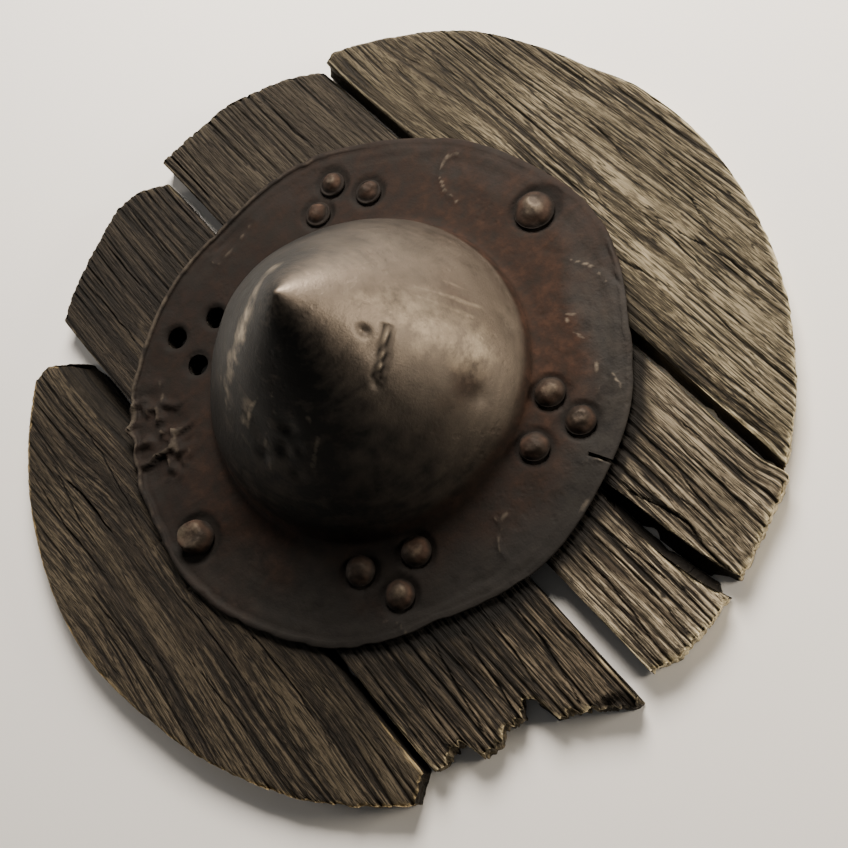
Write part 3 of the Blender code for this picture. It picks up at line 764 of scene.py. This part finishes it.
def off_legs(points, path):
    """Give the points' distances from each straight leg of a path in space, leg by leg."""
    for start, end in zip(path[:-1], path[1:]):
        start, leg = np.array(start), np.subtract(end, start)
        share = np.clip((points - start) @ leg / (leg @ leg), 0, 1)
        yield np.linalg.norm(points - start - share[:, None] * leg, axis=1)


def middle_of(node_name):
    """Return a CAD node's middle in the floor's plane, in millimetres."""
    low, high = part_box(node_name)
    return (low[0] + high[0]) / 2 / MM, (low[1] + high[1]) / 2 / MM


openings = {row["name"]: row["box_m"] for row in frame["record"]["physics"]["openings"]}
empty_places = [tuple((openings[name][0][axis] + openings[name][1][axis]) / 2 / MM for axis in (0, 1))
                for name in EMPTY_HOLES]
rivet_places = {name: middle_of(name) for name in RIVET_NODES}
grip_rivet_places = {name: middle_of(name) for name in ("grip_rivet_a", "grip_rivet_d")}

boss = spun("boss_sheet", boss_outline(), BOSS_STEPS)
drills = [(place, EMPTY_HOLE_RADIUS) for place in empty_places]
drills += [(place, SHANK_RADIUS + SHANK_PLAY) for place in rivet_places.values()]
drills += [(place, GRIP_SHANK_RADIUS + SHANK_PLAY) for place in grip_rivet_places.values()]
bpy.ops.object.select_all(action="DESELECT")
cutters = []
for (x, y), radius in drills:
    bpy.ops.mesh.primitive_cylinder_add(
        vertices=HOLE_SIDES, radius=radius * MM, depth=0.010, location=(x * MM, y * MM, FLANGE_TOP * MM))
    cutters.append(bpy.context.object)
slit_turn = math.radians(SLIT_ANGLE)
bpy.ops.mesh.primitive_cube_add(size=0.001, location=(
    FLANGE_RADIUS * MM * math.cos(slit_turn), FLANGE_RADIUS * MM * math.sin(slit_turn), FLANGE_TOP * MM),
    rotation=(0.0, 0.0, slit_turn), scale=(SLIT_LENGTH * 2, SLIT_WIDTH, 12.0))
cutters.append(bpy.context.object)
bpy.ops.object.select_all(action="DESELECT")
for cutter in cutters:
    cutter.select_set(True)
bpy.context.view_layer.objects.active = cutters[0]
bpy.ops.object.join()
drill = bpy.context.object
bpy.ops.object.select_all(action="DESELECT")
boss.select_set(True)
bpy.context.view_layer.objects.active = boss
cut = boss.modifiers.new("holes", "BOOLEAN")
cut.operation = "DIFFERENCE"
cut.solver = "EXACT"
cut.object = drill
bpy.ops.object.modifier_apply(modifier=cut.name)
bpy.data.objects.remove(drill)

# The hammer's, the years' and the blows' marks. Angles are in degrees from +X, lengths in millimetres.
points, normals = points_of(boss)
x, y, z = points.T.copy()
radius = np.hypot(x, y)
turn = np.arctan2(y, x)
outside = np.where(z > FLANGE_TOP + 0.5, radius > dome_radius(z) - SHEET * 0.5, z > FLANGE_TOP - SHEET * 0.5)
on_dome = np.clip((z - FLANGE_TOP - 1) / 8, 0, 1)
on_flange = np.clip((radius - DOME_RADIUS) / 4, 0, 1) * (z < FLANGE_TOP + 5)
# planishing blows and slow waves of the sheet, on both faces
push = 0.45 * lumps(points, (24, 24, 24), 601) + 0.13 * lumps(points, (11, 11, 11), 602)
push += 0.03 * lumps(points, (5, 5, 5), 609)
push *= np.clip((radius - 2) / 16, 0, 1)
sway = 0.75 * lumps(points * (1, 1, 0), (38, 38, 1), 603) + 0.35 * lumps(points * (1, 1, 0), (14, 14, 1), 604)
sway += 0.12 * lumps(points * (1, 1, 0), (5, 5, 1), 608)
# dents, each at (x, y, z) with its reach and depth; a negative depth stands out
DENTS = (
    ((-34.7, -22.0, 67.5), 5.0, 1.6), ((-42.9, -22.6, 58.3), 5.0, 1.8), ((-51.7, -13.8, 51.6), 4.6, 1.5),
    ((-45.0, -11.0, 60.0), 9.0, 1.2), ((-38.0, -28.0, 60.0), 3.6, 0.9), ((-46.5, -30.0, 48.0), 3.6, 0.9),
    ((12.9, -23.8, 83.3), 2.8, 1.7), ((2.2, -37.6, 71.5), 2.4, 1.2), ((33.6, -47.1, 45.6), 14.0, 0.8),
    ((34.3, -29.3, 62.6), 12.0, -0.7), ((39.2, -41.3, 46.8), 9.0, -0.6), ((-12.6, -55.0, 46.0), 16.0, 0.9),
    ((55.7, 26.3, 40.0), 18.0, 0.7), ((20.0, 50.0, 55.0), 20.0, 0.6), ((-60.0, 20.0, 38.0), 15.0, 0.8),
    ((11.0, -30.0, 78.0), 7.0, 0.8), ((22.0, -12.0, 85.0), 8.0, -0.5), ((57.0, -36.0, 30.0), 8.0, 0.7),
    ((-22.0, 46.0, 52.0), 30.0, -1.3), ((8.0, 54.0, 46.0), 26.0, -1.0),
    ((38.0, 20.0, 68.0), 10.0, 0.5), ((-30.0, 46.0, 50.0), 11.0, 0.6), ((28.0, -56.0, 38.0), 5.0, 0.8),
)
for place, reach, deep in DENTS:
    away = np.linalg.norm(points - place, axis=1) / reach
    push -= deep * np.exp(-away ** 2 * 1.6)
# long cuts down the dome, each between two places on it
CUTS = (
    (1.0, 1.4, ((19.8, -25.2, 77.1), (12.4, -30.8, 75.9), (3.2, -35.7, 73.1))),
    (0.9, 1.2, ((21.6, -27.0, 75.9), (14.2, -32.6, 74.7), (5.0, -37.5, 71.9))),
    (0.5, -0.5, ((20.7, -26.1, 76.5), (13.3, -31.7, 75.3), (7.0, -35.2, 73.6))),
)
cut_mark = np.zeros(len(points))
for half_width, deep, path in CUTS:
    mark = np.zeros(len(points))
    for away in off_legs(points, path):
        mark = np.maximum(mark, np.exp(-(away / half_width) ** 2))
    push -= deep * mark
    cut_mark = np.maximum(cut_mark, mark * (deep > 0))
pitting = np.clip(lumps(points, (3.2, 3.2, 3.2), 605) - 0.40, 0, 1) * 0.9
pitting += np.clip(lumps(points, (1.9, 1.9, 1.9), 606) - 0.45, 0, 1) * 0.5
pitted_places = np.clip(0.15 + 1.2 * lumps(points, (26, 26, 26), 607), 0, 1) * (1 - 0.6 * on_dome)
push -= pitting * pitted_places * outside * 0.8
points += normals * np.where(outside, 1, -1)[:, None] * (push * on_dome)[:, None]

# the flange: slow waves, its left side beaten up, and the small blows and nicks the years left
flat = points * (1, 1, 0)
lift = sway * on_flange
within_step = (FLANGE_RADIUS - STEP_IN - radius) / 2.0 + 0.6 * lumps(flat, (9, 9, 1), 610)
lift -= STEP_DROP * np.clip(within_step, 0, 1)
crumple_place = np.exp(-(((x + 93) / 18) ** 2 + ((y - 56) / 23) ** 2) ** 2)
crumple = 1 - 2 * np.abs(lumps(flat, (9, 7, 1), 611)) / 0.6
crumple += 0.9 * (1 - 2 * np.abs(lumps(flat, (5, 4, 1), 612)) / 0.6)
lift += crumple_place * (2.2 * np.clip(crumple, -1.2, 1.4) - 0.5)
MARKS = (
    (4.6, -0.9, ((-15, 110), (8, 104), (-14, 102))),
    (1.2, 0.9, ((-14, 99), (-2, 101), (10, 104))), (1.0, 0.7, ((-17, 104), (-15, 100), (-12, 98))),
    (1.4, 0.9, ((84, 30), (84, 40), (88, 49))), (1.4, 0.8, ((88, 49), (96, 52), (102, 47))),
    (6.0, 0.5, ((94, 40), (97, 38))),
    (1.1, 0.8, ((-2.5, -87), (-1.5, -94), (-7, -97), (-10, -101.5), (-8.5, -108.5))),
    (1.0, 0.6, ((4, -91), (-2, -92))), (1.3, -0.8, ((0, -96), (4, -100))),
    (1.2, -0.8, ((70, -36), (74, -40))), (1.2, 0.6, ((79, -46), (82, -50))),
    (3.4, -1.0, ((-42, -77), (-40, -78))), (3.0, -0.9, ((54, 71), (55, 70))),
    (0.9, 0.8, ((39, -98), (44, -102), (48, -107))), (1.0, 0.8, ((72, -38), (73, -38))),
    (1.0, 0.7, ((78, -47), (77, -51))), (0.9, 0.6, ((75.5, -53), (76, -57), (77, -61))),
    (0.9, 0.6, ((74, -80), (73, -86), (68, -89))),
    (1.1, -0.7, ((100, -30), (104, -44), (103, -56))), (0.9, 0.5, ((96, -24), (101, -38), (100, -52))),
    (1.0, -0.7, ((92, -14), (98, -26))), (1.0, -0.6, ((30, 98), (42, 94), (50, 88))),
    (1.1, -0.7, ((-60, -70), (-66, -78), (-78, -80))), (1.0, -0.6, ((-96, -26), (-90, -38), (-86, -52))),
    (1.0, -0.6, ((20, -100), (30, -104))), (1.1, 0.6, ((-80, 62), (-72, 76))),
    (1.0, 0.6, ((-66, -86), (-60, -94), (-62, -103))), (0.9, -0.6, ((-86, -60), (-80, -66))),
    (0.9, 0.5, ((60, -84), (66, -80), (74, -70))), (1.0, -0.5, ((-98, 10), (-90, 20), (-88, 32))),
)
bright = np.zeros(len(points))
for half_width, rise, path in MARKS:
    mark = carved(flat, path, half_width, 0.3)
    lift += rise * mark
    bright = np.maximum(bright, mark * (0.58 if rise > 0 and half_width <= 1.5 else 0.1))
# a dimple round each rivet head and empty hole; its dark colour below is dirt and painted shade
recess = np.zeros(len(points))
heads = [(place, HEAD_RADIUS) for place in rivet_places.values()]
heads += [(place, GRIP_HEAD_RADIUS) for place in grip_rivet_places.values()]
for (rivet_x, rivet_y), head in heads:
    away = np.hypot(x - rivet_x, y - rivet_y) - head
    recess = np.maximum(recess, np.clip(1 - away / 2.6, 0, 1))
for hole_x, hole_y in empty_places:
    away = np.hypot(x - hole_x, y - hole_y) - EMPTY_HOLE_RADIUS
    recess = np.maximum(recess, np.clip(1 - away / 3.4, 0, 1) ** 2)
lift -= 1.35 * recess * recess * (3 - 2 * recess)
# only the far left of the rim is still rolled up, the rest is hammered nearly flat
rolled = np.clip(0.15 + 1.3 * np.cos(turn - math.radians(135)), 0.12, 1)
lift -= (1 - rolled) * np.clip(z - FLANGE_TOP, 0, 2) * (radius > FLANGE_RADIUS - 6)
lift -= pitting * pitted_places * 0.7
flange_outside = outside & (z < FLANGE_TOP + 5)
points[:, 2] += np.where(flange_outside, np.clip(lift, -1.55, 2.2) * np.clip(
    (radius - DOME_RADIUS + 6) / 6, 0, 1), 0)
# the outline of the flange isn't quite round, and its rim is torn where it was beaten
out = 2.2 * np.cos(2 * turn) + 1.3 * np.cos(5 * turn + 0.6) + 0.9 * np.cos(9 * turn + 2.0)
out -= crumple_place * (1.2 + 2.4 * lumps(flat, (6, 6, 1), 613))
out -= 1.3 * np.clip(lumps(points, (7, 7, 7), 614) - 0.2, 0, 1)
out *= np.clip((radius - 104) / 12, 0, 1)
points[:, 0] += np.cos(turn) * out
points[:, 1] += np.sin(turn) * out
put_points(boss, points)

rust = 1.2 - (radius - DOME_RADIUS) / 24 + 0.7 * lumps(points, (22, 22, 22), 621)
rust = np.clip(rust, 0, 1) * (1 - on_dome)
rust += on_dome * np.clip(0.45 - (z - FLANGE_TOP) / 40, 0, 1)
# the outer flange is brown with thin rust but for its near right side, which is neutral dark grey
rust += 0.65 * (1 - on_dome) * np.clip(0.95 - 1.3 * np.cos(turn - math.radians(-95)), 0, 1)
# rust patches, and rubbed crests of the dome, partly painted glints: place, reach and strength
RUST_PATCHES = (((28.0, -51.0, 45.0), 11, 0.75), ((20.0, -52.0, 50.0), 11, 0.4),
                ((50.0, -20.0, 50.0), 16, 0.3), ((-20.0, -36.0, 62.0), 8, 0.35),
                ((62.0, 14.0, 34.0), 16, 0.3))
for place, reach, strength in RUST_PATCHES:
    away = np.linalg.norm(points - place, axis=1) / reach
    rust = np.maximum(rust, strength * np.exp(-away ** 2))
rubbed_and_glint = np.zeros(len(points))
RUBBED_AND_GLINT_SPOTS = (((34.3, -29.3, 62.6), 15, 0.6), ((39.2, -41.3, 46.8), 13, 0.8), ((29.7, -21.1, 72.9), 11, 0.6),
          ((17.2, -13.7, 88.5), 9, 0.2), ((-40.0, -2.0, 68.0), 5, 0.4), ((-47.0, 0.0, 60.0), 5, 0.4),
          ((-52.0, -4.0, 52.0), 5, 0.3), ((-12.0, 14.0, 92.0), 9, 0.4), ((-44.0, 20.0, 60.0), 16, 0.15))
for place, reach, strength in RUBBED_AND_GLINT_SPOTS:
    rubbed_and_glint = np.maximum(rubbed_and_glint, strength * np.exp(-(np.linalg.norm(points - place, axis=1) / reach) ** 2))
# rubbed bright lines on the dome, mostly painted highlights and glints: half width, strength and
# the places that each runs through
RUBBED_AND_GLINT_LINES = (
    (3.2, 0.80, ((3.0, 20.0, 90.0), (-8.0, 13.5, 96.0), (-21.8, 11.5, 85.8))),
    (3.4, 0.50, ((-21.8, 11.5, 85.8), (-32.0, 13.0, 75.0), (-40.8, 13.7, 65.1))),
    (3.0, 0.32, ((-40.8, 13.7, 65.1), (-50.0, 14.0, 53.0))),
    (0.9, 0.55, ((-29.4, -13.0, 77.9), (-34.7, -7.2, 74.1), (-41.5, -3.7, 66.8), (-48.1, -4.0, 58.5))),
    (1.2, 0.38, ((-42.7, -14.0, 62.8), (-50.0, -13.5, 53.9), (-53.3, -18.5, 47.6))),
    (0.9, 0.40, ((-25.6, -27.6, 71.5), (-28.6, -33.0, 64.3), (-39.0, -34.4, 53.7))),
    (1.8, 0.60, ((19.0, -12.0, 87.8), (23.2, -16.3, 81.9), (31.9, -16.0, 73.8), (34.1, -25.0, 66.1),
                 (38.0, -34.8, 54.3))),
    (0.6, 0.80, ((20.9, -26.2, 76.8), (7.0, -35.0, 73.6))),
    (0.8, 0.55, ((36.0, -18.0, 69.0), (43.0, -27.0, 55.0), (48.0, -33.0, 45.0))),
    (0.8, 0.55, ((40.0, -16.0, 66.0), (48.0, -24.0, 52.0), (54.0, -30.0, 40.0))),
    (0.8, 0.45, ((44.0, -10.0, 64.0), (52.0, -18.0, 50.0), (58.0, -26.0, 38.0))),
)
rubbed_and_glint_line = np.zeros(len(points))
blur = lumps(points, (6, 6, 6), 623)
for half_width, strength, path in RUBBED_AND_GLINT_LINES:
    for away in off_legs(points, path):
        away = away + 0.8 * half_width * blur
        rubbed_and_glint_line = np.maximum(rubbed_and_glint_line, strength * np.exp(-(away / half_width / 1.4) ** 2))
rubbed_and_glint = np.maximum(rubbed_and_glint, rubbed_and_glint_line) * outside
# the rim's bead is pale at the far left, worn metal and painted highlight, with painted glints at the near
# right
bead = np.exp(-((radius - FLANGE_RADIUS + BEAD_RADIUS) / 1.1) ** 2) * outside
rim_glints = 0.8 * np.exp(-((turn - math.radians(-76)) / math.radians(9)) ** 2) * (
    np.clip(0.35 + 1.4 * lumps(points, (7, 7, 7), 625), 0, 1))
bead *= np.clip(-0.3 + 1.1 * np.cos(turn - math.radians(118)), 0.03, 1) + rim_glints
put_attribute(boss, "rust", np.clip(rust, 0, 1))
put_attribute(boss, "rubbed", on_dome)
# the rubbed skin is cool dark grey at the far left and light tan at the right, the iron's own tint
# with painted light on the side the lamps face, and strokes run round the tip
tan_and_lit = np.clip(0.5 + 0.5 * np.cos(turn - math.radians(-28)), 0, 1) ** 3
tan_and_lit += 0.15 * lumps(points, (22, 22, 22), 624)
put_attribute(boss, "tan_and_lit", np.clip(0.6 * tan_and_lit, 0, 1))
# painted shade on the flange: darker towards the far left, on the near side where the dome's shadow falls,
# and along the left rim
painted_flange_shade = 0.12 + 0.75 * np.clip(0.45 + 0.55 * np.cos(turn - math.radians(105)), 0, 1)
painted_flange_shade += 0.70 * np.clip(3 * np.cos(turn - math.radians(-106)) - 1.8, 0, 1)
painted_flange_shade += 0.30 * np.clip(6 * np.cos(turn - math.radians(180)) - 5, 0, 1) * np.clip((radius - 92) / 10, 0, 1)
painted_flange_shade *= 1 - on_dome
STROKE_ROUND = 4.0
slope = np.hypot(radius, z - FLANGE_TOP)
round_tip = np.stack([slope, STROKE_ROUND * np.cos(turn), STROKE_ROUND * np.sin(turn)], 1)
put_attribute(boss, "stroke", round_tip * MM)
# painted shade on the dome: its near side below 80 mm, and its far right side
painted_dome_shade = np.clip(np.cos(turn - math.radians(-95)) * 1.6 - 0.5, 0, 1) * on_dome
painted_dome_shade *= np.clip((80 - z) / 30, 0, 1)
painted_dome_shade = np.maximum(painted_dome_shade, on_dome * np.clip(1.5 * np.cos(turn - math.radians(62)) - 0.5, 0, 1))
torn_edges = 0.8 * crumple_place * np.clip(crumple - 0.3, 0, 1)
# bare and glint: rubbed metal, scratches and torn edges, with the painted glints and highlights above
put_attribute(boss, "bare_and_glint", np.clip(rubbed_and_glint + bead + bright + torn_edges, 0, 1))
# grime and shade: dirt and painted shade in the rivet recesses and empty holes, pitting, the inner faces
# dark, painted dark lines in the cuts, and the painted shade of the dome and flange
grime_and_shade = 0.9 * recess + pitting * pitted_places * 0.9 + 0.9 * ~outside
grime_and_shade = grime_and_shade + 1.2 * cut_mark + 0.5 * painted_dome_shade + painted_flange_shade
put_attribute(boss, "grime_and_shade", np.clip(grime_and_shade, 0, 1))


def beaten_iron(name, colours):
    """Wrought iron under scale and rust: brown-grey skin, rust in clouds, bare metal where rubbed, painted
    highlights and painted shade.
    """
    made, tree, shader = new_material(name)
    rust, rubbed, bare_and_glint, grime_and_shade, tan_and_lit = [
        node(tree, "Attribute", out="Fac", attribute_name=read)
        for read in ("rust", "rubbed", "bare_and_glint", "grime_and_shade", "tan_and_lit")]
    place = node(tree, "TexCoord", out="Object")
    stroke = node(tree, "Attribute", out="Vector", attribute_name="stroke")
    # clouds of rust 20 to 40 mm wide, mottling of 5 mm, grain of 0.8 mm, and strokes of rubbing
    # 1.2 mm wide that run round the tip, wider than real
    clouds, mottle, grit, strokes = [
        node(tree, "TexNoise", {"Vector": where, "Scale": scale, "Detail": detail, "Roughness": roughness})
        for where, scale, detail, roughness in (
            (place, 36.0, 6.0, 0.58), (place, 150.0, 6.0, 0.6), (place, 1000.0, 3.0, 0.6),
            (stroke, 800.0, 3.0, 0.55))]
    pits = node(tree, "TexVoronoi", {"Vector": place, "Scale": 260.0, "Randomness": 1.0})

    skin = node(tree, "ValToRGB", {"Fac": mottle}, stops=(
        (0.34, colours["skin_dark"]), (0.66, colours["skin_light"])))
    streaked = node(tree, "Math", {0: strokes, 1: 0.30, 2: tan_and_lit}, operation="MULTIPLY_ADD")
    rub_tone = node(tree, "Math", {0: mottle, 1: 0.40, 2: streaked}, operation="MULTIPLY_ADD")
    dome_skin = node(tree, "ValToRGB", {"Fac": rub_tone}, stops=(
        (0.38, colours["rubbed_cool"]), (0.94, colours["rubbed_tan_lit"])))
    rusty = node(tree, "ValToRGB", {"Fac": mottle}, stops=(
        (0.34, colours["rust_dark"]), (0.52, colours["rust"]), (0.70, colours["rust_light"])))
    rust_sum = node(tree, "Math", {0: clouds, 1: 1.1, 2: rust}, operation="MULTIPLY_ADD")
    rust_share = node(tree, "MapRange", {
        "Value": rust_sum, "From Min": 0.60, "From Max": 1.45}, interpolation_type="SMOOTHSTEP")
    rub_clouds = node(tree, "Math", {0: mottle, 1: 2.3, 2: -0.65}, operation="MULTIPLY_ADD")
    rub_sum = node(tree, "Math", {0: bare_and_glint, 1: rub_clouds}, operation="MULTIPLY")
    bare_and_glint_share = node(tree, "MapRange", {
        "Value": rub_sum, "From Min": 0.10, "From Max": 0.75, "To Max": 0.85})
    grime_and_shade_share = node(tree, "Math", {0: grime_and_shade, 1: 0.9}, operation="MULTIPLY", use_clamp=True)
    colour = skin
    for share, layer in ((rubbed, dome_skin), (rust_share, rusty), (bare_and_glint_share, linear(colours["bare_and_glint"])),
                         (grime_and_shade_share, linear(colours["grime_and_shade"]))):
        colour = node(tree, "Mix", {"Factor": share, 6: colour, 7: layer}, out=2, data_type="RGBA")
    tree.links.new(colour, shader.inputs["Base Color"])

    covered = node(tree, "Math", {0: rust_share, 1: grime_and_shade_share}, operation="MAXIMUM")
    skin_metal = node(tree, "MapRange", {"Value": rubbed, "To Min": 0.50, "To Max": 1.0})
    metal_sum = node(tree, "Math", {0: covered, 1: -0.62, 2: skin_metal}, operation="MULTIPLY_ADD")
    metal = node(tree, "Math", {0: bare_and_glint_share, 1: 0.5, 2: metal_sum},
                 operation="MULTIPLY_ADD", use_clamp=True)
    tree.links.new(metal, shader.inputs["Metallic"])
    skin_rough = node(tree, "MapRange", {"Value": rubbed, "To Min": 0.52, "To Max": 0.42})
    dull = node(tree, "Math", {0: covered, 1: 0.22, 2: skin_rough}, operation="MULTIPLY_ADD")
    dull_spots = node(tree, "Math", {0: mottle, 1: 0.20, 2: dull}, operation="MULTIPLY_ADD")
    polished = node(tree, "Math", {0: bare_and_glint_share, 1: -0.10, 2: dull_spots},
                    operation="MULTIPLY_ADD", use_clamp=True)
    tree.links.new(polished, shader.inputs["Roughness"])

    # the rubbed dome is much smoother than the flange
    beaten = node(tree, "MapRange", {"Value": rubbed, "To Min": 2.6, "To Max": 0.5})
    beaten_height = node(tree, "Math", {0: mottle, 1: beaten}, operation="MULTIPLY")
    gritty = node(tree, "Math", {0: grit, 1: 0.7, 2: beaten_height}, operation="MULTIPLY_ADD")
    relief = node(tree, "Math", {0: strokes, 1: 0.35, 2: gritty}, operation="MULTIPLY_ADD")
    pit_depth = node(tree, "MapRange", {
        "Value": pits, "From Min": 0.05, "From Max": 0.40, "To Min": -0.7, "To Max": 0.0},
        interpolation_type="SMOOTHSTEP")
    pit_share = node(tree, "MapRange", {"Value": clouds, "From Min": 0.45, "From Max": 0.62})
    pitted = node(tree, "Math", {0: pit_depth, 1: pit_share, 2: relief}, operation="MULTIPLY_ADD")
    bump = node(tree, "Bump", {"Height": pitted, "Strength": 0.5, "Distance": 0.0003})
    tree.links.new(bump, shader.inputs["Normal"])
    shader.inputs["Specular IOR Level"].default_value = 0.25
    return made


BOSS_COLOURS = {"skin_dark": "1D1B1A", "skin_light": "302D2A", "rubbed_cool": "2C2C2C",
                "rubbed_tan_lit": "776D63", "rust_dark": "1E130B", "rust": "2D1C13",
                "rust_light": "3F2A1F", "bare_and_glint": "AEA290", "grime_and_shade": "0C0907"}
boss.data.materials.append(beaten_iron("beaten_rusted_iron", BOSS_COLOURS))
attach(boss, "root")
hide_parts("boss")


# The rivets
# Iron rivets, their heads beaten down hot over the flange, so no two are alike. Nine small ones,
# about 14 mm across the head, hold the boss to the planks, and two of 16 and 19 mm hold the grip.
RIVET_STEPS = 64
HEAD_RINGS = 16
RIVET_HEADS = {"head": HEAD_RADIUS, "height": 4.0, "shank": 3.0, "tail": 4.6, "crown": 2.2}
GRIP_HEAD = {"head": GRIP_HEAD_RADIUS, "height": 4.1, "shank": 4.2, "tail": 6.4, "crown": 2.4}
GRIP_STUB = {"head": 8.0, "height": 6.5, "shank": 4.2, "tail": 6.4, "crown": 6.0}
HEAD_SEAT = 0.3
HEAD_DROP = 0.9
TAIL_TOP = 1.5
TAIL_LOW = 0.3


def rivet_outline(kind):
    """Return a rivet's half section from the middle of its head to the middle of its tail."""
    seat = FLANGE_TOP + HEAD_SEAT
    shares = np.sin(np.linspace(0, math.pi / 2, HEAD_RINGS))
    top = [(kind["head"] * share, seat + kind["height"] * (1 - share ** kind["crown"])) for share in shares]
    low = seat - HEAD_DROP
    neck = [(kind["head"] * 0.985, low + 0.35), (kind["head"] * 0.93, low), (kind["shank"], low)]
    return top + neck + [(kind["shank"], TAIL_TOP), (kind["tail"], TAIL_TOP), (kind["tail"], TAIL_LOW + 0.3),
                         (kind["tail"] * 0.94, TAIL_LOW), (0.0, TAIL_LOW)]


def set_rivet(pattern, node_name, kind, seed, lean, size):
    """Copy the pattern rivet to its place and beat its head to a shape of its own."""
    piece = pattern.copy()
    piece.data = pattern.data.copy()
    piece.name = f"{node_name}_beaten"
    bpy.context.scene.collection.objects.link(piece)
    points, normals = points_of(piece)
    middle = np.array([*middle_of(node_name), 0.0])
    head = np.clip((points[:, 2] - FLANGE_TOP + 0.6) / 1.2, 0, 1)
    shifted = points + middle
    blows = 0.45 * lumps(shifted, (5.5, 5.5, 5.5), seed) + 0.22 * lumps(shifted, (2.4, 2.4, 2.4), seed + 1)
    flats = np.clip(points[:, 2] - (FLANGE_TOP + HEAD_SEAT + kind["height"] * 0.86), 0, 9) * 0.6
    points[:, :2] *= 1 - (1 - size) * head[:, None]
    points[:, 2] -= (1 - size) * 1.6 * np.clip(points[:, 2] - FLANGE_TOP, 0, 9) / kind["height"] * head
    points += normals * ((blows - 0.3) * head)[:, None]
    points[:, 2] -= flats * head
    height = np.clip(points[:, 2] - FLANGE_TOP, 0, 9)
    points[:, 0] += lean[0] * height * head
    points[:, 1] += lean[1] * height * head
    put_points(piece, points + middle)
    rise = np.clip((points[:, 2] - FLANGE_TOP - 0.5) / kind["height"], 0, 1)
    put_attribute(piece, "rust", np.clip(0.75 - 0.5 * rise + 0.6 * lumps(shifted, (5, 5, 5), seed + 2), 0, 1))
    put_attribute(piece, "rubbed", 0.5 * rise)
    # the heads' tops paler: rubbed metal and painted highlight
    put_attribute(piece, "bare_and_glint", np.clip(0.9 * rise - 0.40, 0, 1))
    put_attribute(piece, "tan_and_lit", 0.25 + 0.15 * lumps(shifted, (5, 5, 5), seed + 3))
    put_attribute(piece, "stroke", shifted * MM)
    # darker towards the head's foot: dirt and painted shade
    put_attribute(piece, "grime_and_shade", np.clip(1 - rise * 2.6, 0, 1))
    piece.data.materials.append(rivet_iron)
    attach(piece, "root")
    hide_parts(node_name)


RIVET_COLOURS = {"skin_dark": "1F1A17", "skin_light": "352D27", "rubbed_cool": "3B3632",
                 "rubbed_tan_lit": "544A40", "rust_dark": "22170F", "rust": "35261E",
                 "rust_light": "47362B", "bare_and_glint": "8F8473", "grime_and_shade": "0F0B08"}
rivet_iron = beaten_iron("hammered_rivet_iron", RIVET_COLOURS)
# how far each head leans along X and Y for its height, and how much of it is left
LEANS = ((0.25, 0.25, 0.80), (0.30, 0.10, 0.80), (0.20, 0.25, 0.78), (0.05, 0.05, 0.97), (0.04, -0.04, 1.0),
         (-0.05, 0.0, 0.95), (0.06, 0.05, 0.96), (-0.04, 0.04, 0.98), (0.05, -0.05, 0.97))
small = spun("rivet_pattern", rivet_outline(RIVET_HEADS), RIVET_STEPS)
for number, (name, (lean_x, lean_y, size)) in enumerate(zip(RIVET_NODES, LEANS)):
    set_rivet(small, name, RIVET_HEADS, 700 + 10 * number, (lean_x, lean_y), size)
domed = spun("grip_rivet_pattern", rivet_outline(GRIP_HEAD), RIVET_STEPS)
set_rivet(domed, "grip_rivet_a", GRIP_HEAD, 800, (0.0, 0.0), 0.98)
stub = spun("stub_rivet_pattern", rivet_outline(GRIP_STUB), RIVET_STEPS)
set_rivet(stub, "grip_rivet_d", GRIP_STUB, 810, (-0.22, 0.20), 1.0)
for pattern in (small, domed, stub):
    bpy.data.objects.remove(pattern)
